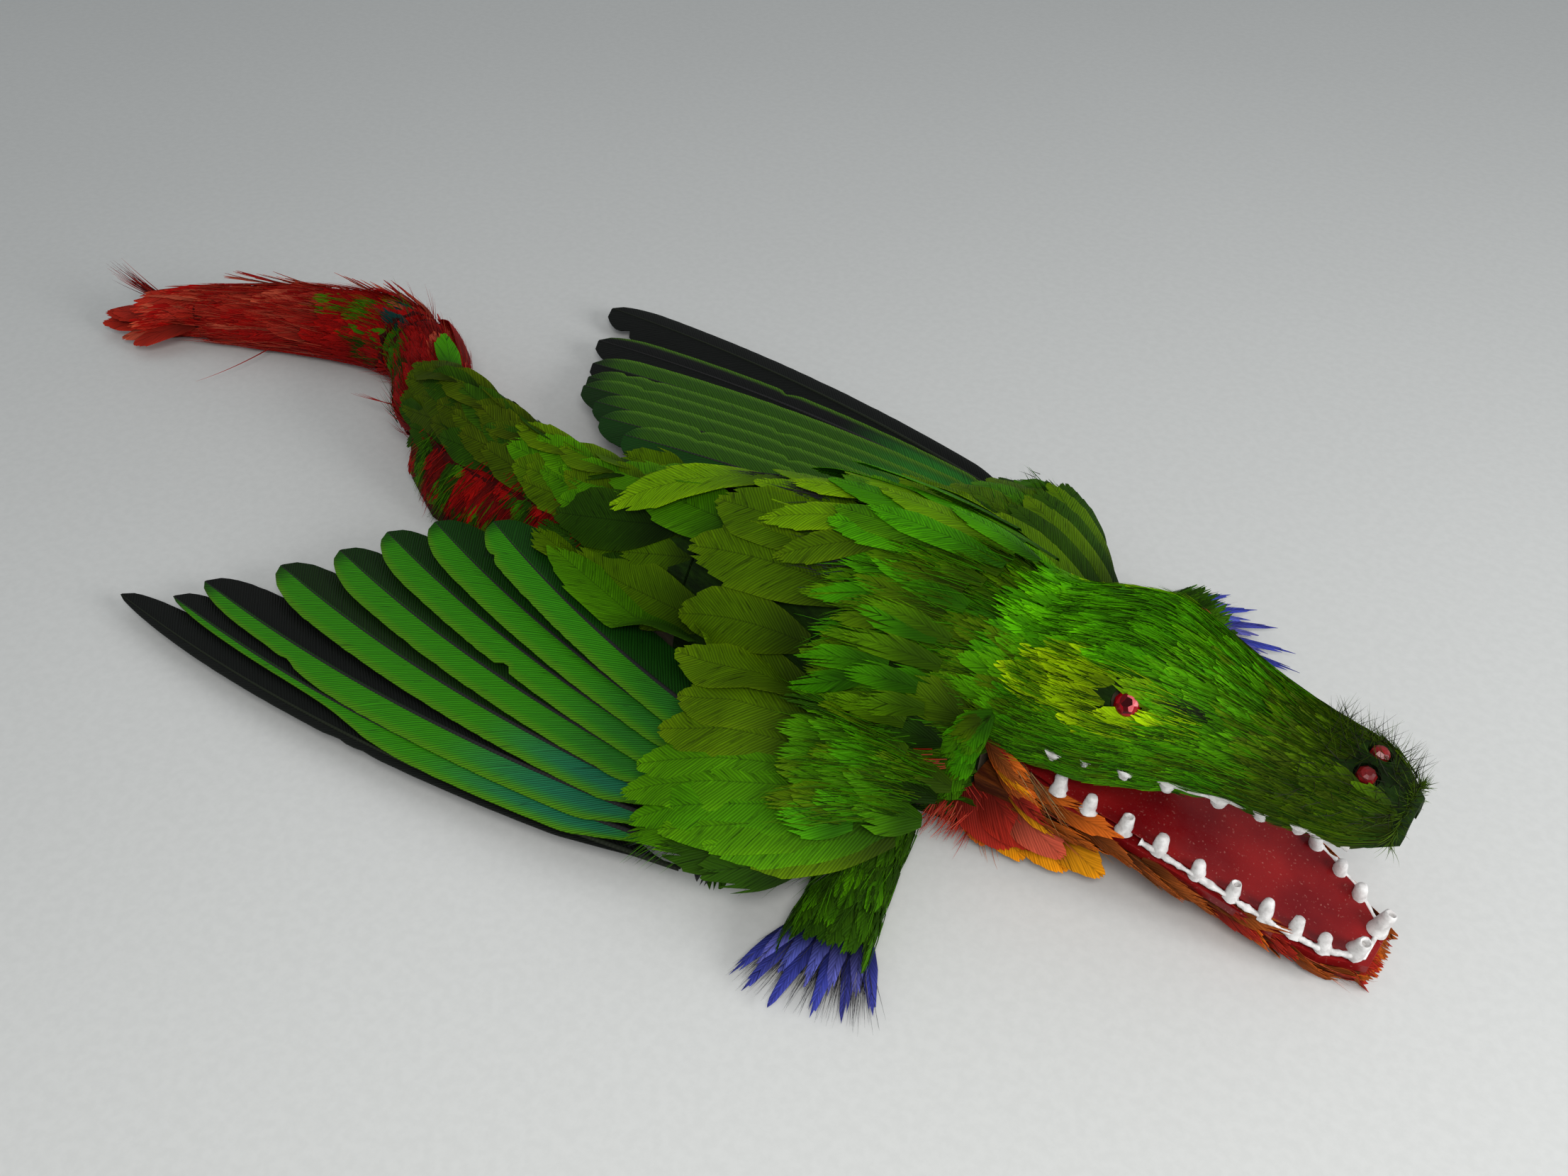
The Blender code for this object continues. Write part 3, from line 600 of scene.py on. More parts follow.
def shaded_down_material(name, colour, other):
    """Dense short plumage under the laid feathers, coloured far darker than them as painted shade in the
    gaps between them.
    """
    g = Graph(name)
    place = g.object_place()
    stretched = g.node("ShaderNodeMapping", Vector=place, Scale=(0.25, 1.0, 1.0)).outputs[0]
    coarse = g.noise(stretched, 500.0, 4.0, 0.6)
    fine = g.noise(stretched, 2200.0, 3.0, 0.6)
    mixed = g.mix(g.ramp(coarse, 0.35, 0.65), colour, other)
    mixed = g.scale(mixed, g.math("MULTIPLY_ADD", fine, 1.0, 0.4))
    return g.finish(mixed, 0.8, fine, 0.6, 0.4, Specular_IOR_Level=0.1)


def plain_material(name, colour, other, roughness, scale=300.0, bump=0.1, **constants):
    """A hard surface with soft spots of a second colour and an uneven roughness."""
    g = Graph(name)
    spots = g.noise(g.object_place(), scale, 4.0, 0.6)
    mixed = g.mix(g.ramp(spots, 0.35, 0.7), colour, other)
    rough = g.math("MULTIPLY_ADD", spots, 0.2, roughness - 0.1)
    return g.finish(mixed, rough, spots, 0.4, bump, **constants)


def lacquer_material(name):
    """Thick red lacquer with dust and short fibres in it."""
    g = Graph(name)
    place = g.object_place()
    broad = g.noise(place, 90.0, 3.0)
    colour = g.mix(g.ramp(broad, 0.3, 0.7), (0.140, 0.002, 0.004), (0.250, 0.008, 0.008))
    dust = g.ramp(g.noise(place, 2600.0, 1.0), 0.66, 0.75)
    colour = g.mix(g.math("MULTIPLY", dust, 0.3), colour, (0.5, 0.22, 0.18))
    rough = g.math("MULTIPLY_ADD", g.noise(place, 500.0, 3.0), 0.35, 0.12)
    coat = {"Specular_IOR_Level": 0.25, "Coat_Weight": 0.12, "Coat_Roughness": 0.15}
    return g.finish(colour, rough, g.noise(place, 260.0, 3.0), 0.25, 0.5, **coat)


def gem_material(name):
    """Cut red glass: each facet is painted its own brightness as painted reflection, and the brightest
    carry painted pink glints.
    """
    g = Graph(name)
    cells = g.node("ShaderNodeTexVoronoi", Vector=g.object_place(), Scale=1100.0)
    shade = g.node("ShaderNodeSeparateColor", Color=cells.outputs["Color"]).outputs[0]
    colour = g.mix(g.ramp(shade, 0.1, 0.75), (0.030, 0.0002, 0.001), (0.300, 0.001, 0.006))
    # painted highlight: pink glints on the brightest facets
    colour = g.mix(g.math("MULTIPLY", g.ramp(shade, 0.91, 0.94), 0.7), colour, (0.75, 0.16, 0.18))
    return g.finish(colour, 0.12, None, Specular_IOR_Level=0.18)


GLASS = {"Specular_IOR_Level": 0.25, "Coat_Weight": 0.2, "Coat_Roughness": 0.12}
MATERIALS = {
    # the split and covered-root darkening values of both vanes are painted shade
    "contour": contour_material("contour_vane", 2.3, 0.8, 0.25, 0.75, 0.72, (0.80, 0.20), 0.5, 1.5),
    "covert": contour_material("covert_vane", 1.1, 0.55, 0.50, 0.50, 0.80, (0.60, 0.05), 0.6, 1.7),
    "hair": barb_material("loose_barbs"),
    # very dark under-layer colours: painted shade between the laid feathers
    "shade_down_green": shaded_down_material("green_down_shade", (0.004, 0.012, 0.001), (0.010, 0.032, 0.001)),
    "shade_down_red": shaded_down_material("red_down_shade", (0.020, 0.001, 0.001), (0.070, 0.003, 0.002)),
    "shade_down_orange": shaded_down_material("orange_down_shade", (0.050, 0.008, 0.002), (0.140, 0.034, 0.004)),
    "core": plain_material("moulded_core", (0.06, 0.05, 0.03), (0.12, 0.09, 0.05), 0.8),
    "skin": plain_material("dried_skin", (0.05, 0.05, 0.03), (0.10, 0.08, 0.05), 0.7),
    "wire": plain_material("steel_wire", (0.3, 0.3, 0.3), (0.4, 0.4, 0.4), 0.35, Metallic=1.0),
    "lacquer": lacquer_material("red_lacquer"),
    "white": plain_material("white_paint", (0.78, 0.77, 0.76), (0.52, 0.50, 0.49), 0.5, 900.0, 0.25),
    "gem": gem_material("eye_glass"),
    "bead": plain_material(
        "nostril_glass", (0.22, 0.006, 0.008), (0.09, 0.003, 0.004), 0.35, 900.0, 0.05, **GLASS
    ),
}

UNDERLAYER = {
    "shade_down_green": """crown_feathers snout_feathers right_cheek_feathers left_cheek_feathers
        neck_ruff_feathers mantle_feathers rump_feathers hind_back_feathers
        right_leg_feathers left_leg_feathers belly_feathers""",
    "shade_down_red": "right_flank_feathers left_flank_feathers tail_barred_feathers tail_red_feathers",
    "shade_down_orange": "throat_feathers jaw_underside_feathers",
    "core": "body_core head_core tail_core right_leg_peg left_leg_peg",
    "skin": "right_wing_arm left_wing_arm",
    "wire": "tail_wire",
    "lacquer": "palate_lining jaw_board",
    "bead": "right_nostril_gem left_nostril_gem",
}
for label, nodes in UNDERLAYER.items():
    for node in nodes.split():
        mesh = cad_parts[node].data
        mesh.materials.clear()
        mesh.materials.append(MATERIALS[label])


# ---------------------------------------------------------------- flight feathers


def cad_ends(node):
    """The middles of a CAD feather's two ends, in millimetres from the origin."""
    points = points_of(node)
    base = points[points[:, 0] > points[:, 0].max() - 0.8].mean(0)
    tip = points[points[:, 0] < points[:, 0].min() + 0.8].mean(0)
    return base, tip


def flight_feather(name, node, side, material, bow,
                   outer=4.3, inner=6.6, notch=None, splits=2, tip_round=0.16):
    """One quill feather over its CAD node: a cambered vane with a few splits, and a raised shaft.

    Outer and inner are the vane's widths beside the shaft; a notch narrows the outer one."""
    rows = 70
    base, tip = cad_ends(node)
    run = tip - base
    flat = np.array([run[0], run[1], 0.0])
    length = np.linalg.norm(run)
    outward = np.array([flat[1], -flat[0], 0.0]) / np.linalg.norm(flat)
    if outward[1] * side < 0:
        outward = -outward
    columns_out, columns_in = 7, 9
    u = np.concatenate([np.linspace(-1, 0, columns_in), np.linspace(0, 1, columns_out)[1:]])
    v = np.linspace(0, 1, rows) ** 0.92
    t = np.broadcast_to(v[:, None], (rows, len(u)))
    across = np.broadcast_to(u[None], t.shape)

    rise = np.clip((t - 0.02) / 0.14, 0.05, 1.0)
    start = 1 - tip_round * np.where(across > 0, 0.9, 1.35)
    fall = np.sqrt(np.clip(1 - (np.clip((t - start) / (1 - start), 0, 1)) ** 2, 0, 1))
    wide = np.where(across > 0, outer, inner) * rise * np.maximum(fall, 0.04)
    if notch:
        where, left = notch
        narrow = left + (1 - left) / (1 + np.exp((t - where) / 0.035))
        wide = np.where(across > 0, wide * narrow, wide)
    for _ in range(splits):
        place, depth = rng.uniform(0.45, 0.93), rng.uniform(0.12, 0.3)
        dent = np.exp(-(((t - place) / 0.012) ** 2)) * depth
        hit = across < 0 if rng.random() < 0.6 else across > 0
        wide = wide * (1 - dent * hit * np.abs(across))
    wide = wide * (1 + rng.normal(0, 0.008, (rows, 1)))
    sideways = across * wide
    bend = bow * 4 * t * (1 - t)
    lean = np.where(across > 0, 0.11, 0.07) * sideways
    round_off = -0.05 * sideways**2 * np.where(across > 0, 0.6, 0.25)
    height = base[2] + run[2] * t + lean + round_off
    centre = base[None, None] * (1 - t[..., None]) + tip[None, None] * t[..., None]
    points = centre + outward * (sideways + bend)[..., None]
    points[..., 2] = height
    world = np.array(ORIGIN) + points * MM
    plume = Plume()
    place = np.stack([across, t, np.full(t.shape, rng.random())], -1)
    size = np.stack([sideways, t * length, np.zeros(t.shape)], -1)
    lower = world.copy()
    lower[..., 2] -= 0.12 * MM
    plume.sheet(world, lower, place, size, (0.1, 0.1, 0.1))

    # the shaft: a tapering ridge along the middle of the vane
    middle = world[:, columns_in - 1]
    thick = (0.42 - 0.34 * v) * MM
    ring = []
    for angle in (0, 60, 120, 180):
        a = math.radians(angle)
        aside = outward * (math.cos(a) * thick)[:, None]
        ring.append(middle + aside + np.array([0, 0, 1.0]) * (math.sin(a) * thick * 0.7)[:, None])
    top = np.stack(ring, 1)
    low = top.copy()
    low[..., 2] -= 0.1 * MM
    shape = top.shape[:2]
    tall = np.broadcast_to(v[:, None], shape)
    place = np.stack([np.zeros(shape), tall, np.zeros(shape)], -1)
    size = np.stack([np.zeros(shape), tall * length, np.ones(shape)], -1)
    plume.sheet(top, low, place, size, (0.1, 0.1, 0.1))
    return plume.build(name, material, "green_feathers", node)


def make_wings():
    """Eight flight feathers on each side; the first two are black or nearly so."""
    green_edge = (0.075, 0.200, 0.004)
    for side_name, side in SIDES:
        outer_green = (0.028, 0.200, 0.003) if side < 0 else (0.022, 0.076, 0.002)
        for i in range(1, 9):
            node = f"{side_name}_flight_feather_{i}"
            label = f"{side_name}_vane_{i}"
            blue = TEAL if side < 0 and i in (2, 3, 4) else (0.018, 0.140, 0.012)
            inner = BLACK if i < 4 else (0.006, 0.020 + 0.006 * (i - 4), 0.003)
            if i == 1:
                tone, rim = (0.006, 0.007, 0.006), (0.010, 0.012, 0.010)
                look = flight_material(label, tone, rim, BLACK, BLACK, GREEN_SHAFT)
                shape = {"outer": 1.5, "inner": 6.2, "tip_round": 0.3}
                if side > 0:
                    shape = {"outer": 3.0, "inner": 7.0, "tip_round": 0.12}
            elif i == 2:
                tone = outer_green if side < 0 else (0.004, 0.0045, 0.004)
                look = flight_material(label, tone, green_edge, BLACK, blue)
                shape = {"outer": 3.6, "inner": 6.0, "notch": (0.55, 0.30)}
                if side > 0:
                    shape = {"outer": 3.6, "inner": 6.6, "tip_round": 0.12}
            else:
                look = flight_material(label, outer_green, green_edge, inner, blue)
                shape = {"notch": (0.72, 0.6)} if i == 3 else {}
            if side > 0 and i > 2:
                shape = {"outer": 4.2, "inner": 5.6, "tip_round": 0.09, "splits": 4}
            bow = 4.2 - 0.3 * (i - 1)
            flight_feather(label, node, side, look, bow, **shape)


# ---------------------------------------------------------------- wings and back


TOP_NODES = [
    "mantle_feathers",
    "neck_ruff_feathers",
    "rump_feathers",
    "right_greater_coverts",
    "left_greater_coverts",
    "right_lesser_coverts",
    "left_lesser_coverts",
] + [f"{s}_flight_feather_{i}" for s in ("right", "left") for i in range(1, 9)]
back = Height(TOP_NODES, (-75, 34), (-60, 60))

# The large feathers one by one, undermost first: base (x, y), tip (x, y), width, lift, colour.
# Here y is counted outwards from the middle line on each side.
RIGHT_COVERTS = [
    ((21.5, 27.5), (8, 42.0), 7.2, 0.2, OLIVE),
    ((21, 26), (4, 43.8), 7.8, 0.4, LEAF),
    ((20, 26), (-1.5, 45.6), 8.0, 0.6, LEAF),
    ((18, 26), (-6.5, 45.4), 8.4, 0.8, (0.046, 0.185, 0.0006)),
    ((14.5, 26.5), (-10, 43.0), 8.6, 1.0, LEAF),
    ((11, 26), (-11, 38.8), 8.6, 1.0, LEAF),
    ((8, 24.5), (-12, 33.4), 8.6, 1.2, OLIVE),
    ((6, 22), (-13, 28.2), 8.6, 1.4, OLIVE),
    ((3, 19.5), (-18, 22.8), 8.6, 1.6, OLIVE),
    ((1, 17), (-21.5, 17.8), 8.6, 1.8, OLIVE),
    ((-1, 14.5), (-23.5, 13.7), 8.4, 2.0, OLIVE),
]
LEFT_COVERTS = [
    ((10, 38), (-8.5, 46.5), 8.0, 0.3, DEEP),
    ((11, 36), (-9, 42.8), 8.4, 0.6, OLIVE),
    ((12, 33), (-9.5, 38.8), 8.4, 0.9, LEAF),
    ((12, 29), (-11, 34.6), 8.4, 1.2, OLIVE),
    ((11, 25), (-13, 30.4), 8.4, 1.4, DEEP),
    ((9, 21), (-15.5, 26.2), 8.4, 1.6, OLIVE),
    ((6, 18), (-18, 22.0), 8.4, 1.8, LEAF),
]
RIGHT_SCAPULARS = [
    ((-18, 19), (-52, 14.2), 9.4, 0.6, LEAF),
    ((-18, 14.5), (-50.6, 10.0), 9.6, 1.0, OLIVE),
    ((-32, 6.5), (-57, 6.4), 9.4, 0.9, DEEP),
    ((-18, 6), (-42.4, 2.0), 9.2, 1.4, LEAF),
    ((4, 9.5), (-25.8, 8.6), 10.0, 2.2, OLIVE),
    ((-2, 5), (-25.4, 3.4), 9.4, 2.5, OLIVE),
]
LEFT_SCAPULARS = [
    ((-10, 17), (-38, 12.5), 8.6, 0.8, DEEP),
    ((-4, 18), (-31, 17.5), 8.0, 1.0, DEEP),
    ((-18, 4), (-41.2, 0.2), 8.6, 1.6, LEAF),
    ((-17, 5.5), (-44, -5.5), 8.2, 2.6, LIME),
    ((-2, 5), (-24, 5.6), 7.0, 2.4, LIME),
    ((4, 19.5), (-21, 20.0), 6.6, 1.8, GRASS),
    ((2, 12), (-22.5, 11.0), 6.6, 2.4, GRASS),
    ((12, 17.5), (-14, 19.6), 6.2, 2.8, LEAF),
    ((11, 15), (-20, 16.2), 6.8, 3.0, GRASS),
    ((13, 9.5), (-15, 10.4), 6.8, 3.4, GRASS),
    ((-3, 0.5), (-22.3, 0.4), 6.4, 2.4, LIME),
    ((11, 4.5), (-12, 5.6), 6.4, 3.4, LEAF),
    ((14, 12.5), (-6, 14.2), 5.6, 3.8, LIME),
    ((12, 0.4), (-6.2, -3.6), 7.0, 3.4, GRASS),
]

# Broad coverts on the left shoulder.
LEFT_SHOULDER = [
    ((15, 36), (2, 47), 7.6, 1.4, DEEP),
    ((18, 33), (1, 44), 8.0, 1.7, OLIVE),
    ((20.5, 30), (1, 40), 8.2, 2.0, DEEP),
    ((22, 27), (1, 36), 8.2, 2.3, OLIVE),
    ((23, 24), (1, 31.5), 8.2, 2.6, DEEP),
    ((23, 21.5), (1, 27), 8.0, 2.9, OLIVE),
    ((22.5, 19), (-1, 22.5), 7.8, 3.2, LEAF),
]
# Long bright feathers that lie over the mantle, with y to the left.
OVER_MANTLE = [
    ((-2, 5), (-16, 0.5), 5.2, LIME),
    ((1, 0), (-15.5, -5.5), 5.4, LIME),
    ((3, -3), (-10, -9), 5.0, OLIVE),
    ((5, 9), (-12, 9.5), 5.6, GRASS),
    ((9, 6.5), (-13, 7.5), 5.8, LIME),
    ((11, 3.5), (-12, 3.2), 5.6, GRASS),
    ((10, -0.5), (-7, -1.5), 5.2, LEAF),
    ((13, 9.5), (-5, 11), 5.6, LEAF),
    ((16, 7), (-4, 9), 5.6, GRASS),
    ((17, 3.5), (-5, 4.5), 5.4, LIME),
    ((17.5, 0.5), (-3, 0.2), 5.0, GRASS),
    ((20, 8), (3, 11), 5.0, LEAF),
    ((20, 4), (5, 6), 4.8, GRASS),
]


def big_feathers(name, rows, side, node, fray=0.05):
    """One side's large feathers from a table, over the CAD node that they replace."""
    plume = Plume()
    for base, tip, width, lift, colour in rows:
        start, end = (base[0], side * base[1]), (tip[0], side * tip[1])
        tint = varied(colour, 0.08)
        if side > 0 and lift > 1.5 and base[1] > 9:
            lift += 2.2
        shape = {"lift": (lift * 0.7, lift + 0.5), "fray": fray, "rows": 18, "columns": 21}
        lay_between(plume, back, start, end, width, tint, point=0.26, camber=0.07, **shape)
    plume.build(name, MATERIALS["covert"], "green_feathers", node)


def make_shoulder(name, side):
    """Coverts over the roots of the large ones: many small ones on the right, a few broad on the left."""
    plume, loose = Plume(), Plume()

    def band(x):
        outer = 47.0 - 23.0 * max(0.0, (x + 2) / 25) ** 1.3
        low, high = (13.0 if side < 0 else 19.0), max(outer, 21.0)
        return (low, high) if side > 0 else (-high, -low)

    def furthest(y):
        if side > 0:
            return float(np.interp(y, [18, 46], [-8, -4]))
        return float(np.interp(-y, [12, 20, 23, 26, 34, 46], [0, 2, 4, 6, 12, 16]))

    def fan(y, spread):
        return 180 - side * (10 + spread * min(max((abs(y) - 12) / 18, 0.0), 1.0))

    reach = (6, 23) if side < 0 else (2, 22)
    for x, y in rows_of(reach, 3.0, band, 3.2):
        heading = fan(y, 30) + rng.uniform(-7, 7)
        length = rng.uniform(8, 11) if side < 0 else rng.uniform(11, 15)
        past = x - length * math.cos(math.radians(heading - 180)) < furthest(y) - 1.5
        if past or side > 0:
            continue
        tint = pick((LEAF, 4), (GRASS, 2), (OLIVE, 2), (DEEP, 1))
        shape = {"lift": (1.4, 2.1), "fray": 0.38, "columns": 17, "rows": 8}
        lay(plume, back, x, y, heading, length, rng.uniform(4.6, 6.0), tint, **shape)
    for base, tip, width, lift, colour in LEFT_SHOULDER if side > 0 else []:
        shape = {"lift": (lift * 0.8, lift + 0.4), "fray": 0.06, "columns": 21, "rows": 16}
        lay_between(plume, back, base, tip, width, varied(colour, 0.1), point=0.26, **shape)
    for _ in range(700 if side < 0 else 200):
        x = rng.uniform(reach[0] - 6, 22)
        low, high = band(max(x, 0))
        y = rng.uniform(low, high)
        heading = fan(y, 32) + rng.uniform(-12, 12)
        if x - 4.5 < furthest(y) - 2:
            continue
        tint = pick((GRASS, 2), (LEAF, 3), (DEEP, 4), (OLIVE, 2))
        strand(loose, back, x, y, heading, rng.uniform(4, 8), tint, 0.06, 2.0)
    # wisps along the leading edge
    for _ in range(150 if side < 0 else 30):
        share = rng.random()
        x, y = 19 - 21 * share, side * (33 + 13 * share**0.6)
        heading = 180 - side * rng.uniform(25, 70)
        tint = pick((DEEP, 3), (SLATE, 2), (LEAF, 1))
        strand(loose, back, x, y, heading, rng.uniform(3, 6), tint, -0.15, 0.2, 0.08)
    node = f"{name}_lesser_coverts"
    skin = MATERIALS["contour" if side < 0 else "covert"]
    plume.build(f"{name}_lesser_covert_plumage", skin, "green_feathers", node)
    loose.build(f"{name}_wing_barbs", MATERIALS["hair"], "green_feathers")


def make_wrist(name, side):
    """Small dark feathers wrap the wing's bone and close the wrist."""
    plume = Plume()
    for _ in range(40):
        share = rng.random() ** 0.7
        start = (-15 + 18 * share, side * (15 + 24 * share), rng.uniform(4.2, 7.2))
        end = (start[0] + rng.uniform(1, 4), start[1] + side * rng.uniform(4, 7), start[2] - 1.2)
        tint = pick((DEEP, 3), (SLATE, 2), (LEAF, 1))
        hang(plume, start, end, (0.3, 0, 1), rng.uniform(3, 4.4), tint, bow=0.4, fray=0.4)
    for base, tip in (((15, 37), (5, 46.4)), ((11, 40), (-1, 47.2)), ((6, 41), (-6, 47.2))):
        shape = {"lift": (0.2, 0.8), "fray": 0.3, "columns": 17, "rows": 12}
        ends = (base[0], side * base[1]), (tip[0], side * tip[1])
        lay_between(plume, back, *ends, 6.0, pick((DEEP, 2), (LEAF, 1)), **shape)
    piece = plume.build(f"{name}_wrist_plumage", MATERIALS["contour"], "dried_skin")
    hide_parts(f"{name}_wing_arm")


def make_rump():
    """Broad feathers over the root of the hind body."""
    plume = Plume()
    for x, y in rows_of((-46, -26), 5.0, lambda p: (-13, 13), 4.6):
        tint = pick((OLIVE, 2), (DEEP, 1), (LEAF, 1))
        lay(plume, back, x, y, 180 + rng.uniform(-8, 8), rng.uniform(12, 16), 7.5, tint, columns=17)
    plume.build("rump_plumage", MATERIALS["covert"], "green_feathers")


def make_mantle():
    """Narrow feathers from the neck to the mantle's rear edge, and long bright ones over its left."""
    plume, loose = Plume(), Plume()

    def rear_edge(y):
        return float(np.interp(y, [-26, -20, -14, -4, 1, 5, 9, 16], [6, 3, 1, -5, -3, 6, 11, 12]))

    def mantle_heading(y):
        return 180 + max(-y, 0) * 1.0 - max(y, 0) * 0.3

    for x, y in rows_of((-2, 17), 2.2, lambda p: (-18, 17), 2.6):
        length = rng.uniform(10, 15)
        if x - length < rear_edge(y) - 4:
            continue
        tint = pick((MANTLE_GREEN, 4), (GRASS, 2), (OLIVE, 2), (DEEP, 0.6))
        heading = mantle_heading(y) + rng.uniform(-8, 8)
        shape = {"lift": (2.2, 3.0), "fray": 0.5, "columns": 15, "rows": 9, "root": 0.5}
        lay(plume, back, x, y, heading, length, rng.uniform(2.8, 4.0), tint, **shape)
    for _ in range(1000):
        x, y = rng.uniform(-8, 18), rng.uniform(-20, 18)
        if x - 6 < rear_edge(y) - 4:
            continue
        tint = pick((GRASS, 4), (LEAF, 4), (DEEP, 3), (OLIVE, 2))
        heading = mantle_heading(y) + rng.uniform(-12, 12)
        strand(loose, back, x, y, heading, rng.uniform(4, 8), tint, 0.06, 3.0)
    # dark down shows between the back feathers in three places
    for x, y in ((-26, 6.7), (-13, 2.2), (-1.5, -7.0)):
        for _ in range(60):
            place = (x + rng.normal(0, 2.2), y + rng.normal(0, 1.6))
            heading = 180 + rng.uniform(-25, 25)
            strand(loose, back, *place, heading, rng.uniform(3, 6), varied(SLATE, 0.3), 0.08, 2.6)
    plume.build("mantle_plumage", MATERIALS["contour"], "green_feathers")

    # long bright feathers over the mantle's left side
    plume = Plume()
    for base, tip, width, colour in OVER_MANTLE:
        shape = {"lift": (3.0, 3.9), "fray": 0.12, "columns": 19, "rows": 16, "camber": 0.12}
        lay_between(plume, back, base, tip, width, varied(colour, 0.1), point=0.3, **shape)
    plume.build("mantle_long_plumage", MATERIALS["covert"], "green_feathers")
    loose.build("mantle_barbs", MATERIALS["hair"], "green_feathers")


def make_back():
    """Mantle, scapulars, rump and the wing coverts, on the height of the CAD's upper side."""
    for name, side, coverts, scapulars in (
        ("right", -1, RIGHT_COVERTS, RIGHT_SCAPULARS),
        ("left", 1, LEFT_COVERTS, LEFT_SCAPULARS),
    ):
        big_feathers(f"{name}_greater_covert_plumage", coverts, side, f"{name}_greater_coverts")
        big_feathers(f"{name}_scapular_plumage", scapulars, side, f"{name}_scapular_feathers", 0.1)
    for name, side in SIDES:
        make_shoulder(name, side)
        make_wrist(name, side)
    make_rump()
    make_mantle()


# ---------------------------------------------------------------- neck and head


GEMS = ["right_eye_gem", "left_eye_gem", "right_nostril_gem", "left_nostril_gem"]
gem_places = [sum(map(Vector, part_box(node)), Vector()) / 2 for node in GEMS]
neck = Round(["neck_ruff_feathers", "mantle_feathers"], 6, 24, lambda t: at(t, 0, 11.0))
head = Round(
    ["crown_feathers", "right_cheek_feathers", "left_cheek_feathers", "snout_feathers"],
    25,
    72,
    lambda t: at(t, 0, 22.5 + 3.5 * min(max((t - 25) / 25, 0), 1)),
)


def near_any(point, spots, distance):
    """Whether a point is within some millimetres of any of the spots."""
    return any((point - spot).length < distance * MM for spot in spots)


def head_tint(t, a):
    """The head is yellow-green round the eyes, bright on the crown and dull at the snout."""
    if (t - 40) ** 2 / 90 + (abs(a) - 54) ** 2 / 380 < 1:
        return pick((EYE_YELLOW, 3), (LIME, 1))
    if t < 46 and abs(a) < 36:
        return pick((CROWN_GREEN, 3), (GRASS, 2))
    if t > 58:
        return pick((MOSS, 3), (OLIVE, 2))
    return pick((CHEEK_GREEN, 4), (OLIVE, 1), (GRASS, 2))


def make_neck():
    """The ruff round the neck, its salmon streak, and the feathers that fall from the cheeks."""
    plume, loose = Plume(), Plume()
    for t, a in rows_of((8, 25), 2.4, lambda p: (-118, 118), 12):
        tint = pick((NECK_GREEN, 4), (GRASS, 1), (OLIVE, 2))
        heading = 180 - math.copysign(34 * min(abs(a) / 100, 1), a) + rng.uniform(-10, 10)
        shape = {"lift": (0.6, 1.3), "fray": 0.42, "columns": 15}
        lay(plume, neck, t, a, heading, rng.uniform(8, 12), rng.uniform(3.4, 4.6), tint, **shape)
    for _ in range(1100):
        t, a = rng.uniform(8, 25), rng.uniform(-118, 118)
        heading = 180 - math.copysign(36 * min(abs(a) / 100, 1), a) + rng.uniform(-12, 12)
        tint = pick((GRASS, 3), (LEAF, 3), (DEEP, 4), (OLIVE, 1))
        strand(loose, neck, t, a, heading, rng.uniform(4, 9), tint, 0.1, 1.2)
    # a salmon streak on the right side of the neck, and two loose red barbs at the shoulder
    for _ in range(16):
        t, a = rng.normal(20.5, 0.7), rng.normal(-78, 3)
        tint = pick((SALMON, 3), (SCARLET, 1))
        strand(loose, neck, t, a, 205 + rng.uniform(-6, 6), rng.uniform(5, 7), tint, 0.1, 1.9, 0.09)
    # long feathers fall from the cheek over the neck's end, down to the throat
    for side in (-1, 1):
        for _ in range(44):
            share = rng.random()
            start = Vector((25.5 - 2.5 * share, side * (13.0 + 1.0 * share), 24.0 - 11.0 * share))
            run = Vector((rng.uniform(-6, -2), side * rng.uniform(0.6, 1.8), rng.uniform(-7.5, -4.5)))
            shape = {"fray": 0.5, "columns": 13, "rows": 7, "bow": 0.8}
            tint = pick((LEAF, 4), (GRASS, 2), (OLIVE, 1))
            end = start + run
            end.z = max(end.z, 5.0)
            hang(plume, start, end, (0.1, side, 0.25), rng.uniform(2.6, 3.6), tint, **shape)
            place = at(*(start + Vector((0, side * 0.6, 0))))
            loose.barb(place, run, (0, 0, -0.1), rng.uniform(5, 8), 0.08, varied(DEEP, 0.4))
    build_patch("neck", plume, loose, "green_feathers")


def make_head():
    """Short dense feathers on the crown, cheeks and snout, clear of the stones."""
    areas = {
        "crown": ((27, 50), (-44, 44)),
        "right_cheek": ((27, 50), (-112, -44)),
        "left_cheek": ((27, 50), (44, 112)),
        "snout": ((50, 71.0), (-102, 102)),
    }
    for name, (reach, band) in areas.items():
        plume, loose = Plume(), Plume()
        for t, a in rows_of(reach, 2.0, lambda p, band=band: band, 9.5):
            if near_any(head.point(t - 3, a), gem_places, 2.9):
                continue
            if near_any(head.point(t, a), gem_places, 2.0):
                continue
            long = rng.uniform(7, 10) if t < 58 else rng.uniform(5, 7)
            shape = {"lift": (0.1, 0.55), "fray": 0.45, "rows": 7, "columns": 11}
            heading = 180 + rng.uniform(-8, 8)
            lay(plume, head, t, a, heading, long, rng.uniform(2.4, 3.4), head_tint(t, a), **shape)
        for _ in range(1300 if name == "snout" else 700):
            t, a = rng.uniform(*reach), rng.uniform(*band)
            start = head.point(t, a)
            if near_any(start, gem_places, 2.4) or near_any(head.point(t - 3, a), gem_places, 2.4):
                continue
            tint = head_tint(t, a) if rng.random() < 0.5 else varied(DEEP, 0.3)
            long = rng.uniform(3, 6)
            strand(loose, head, t, a, 180 + rng.uniform(-10, 10), long, tint, 0.07, 0.5, 0.065)
        slot = "yellow_green_feathers" if "cheek" in name else "green_feathers"
        build_patch(name, plume, loose, slot)


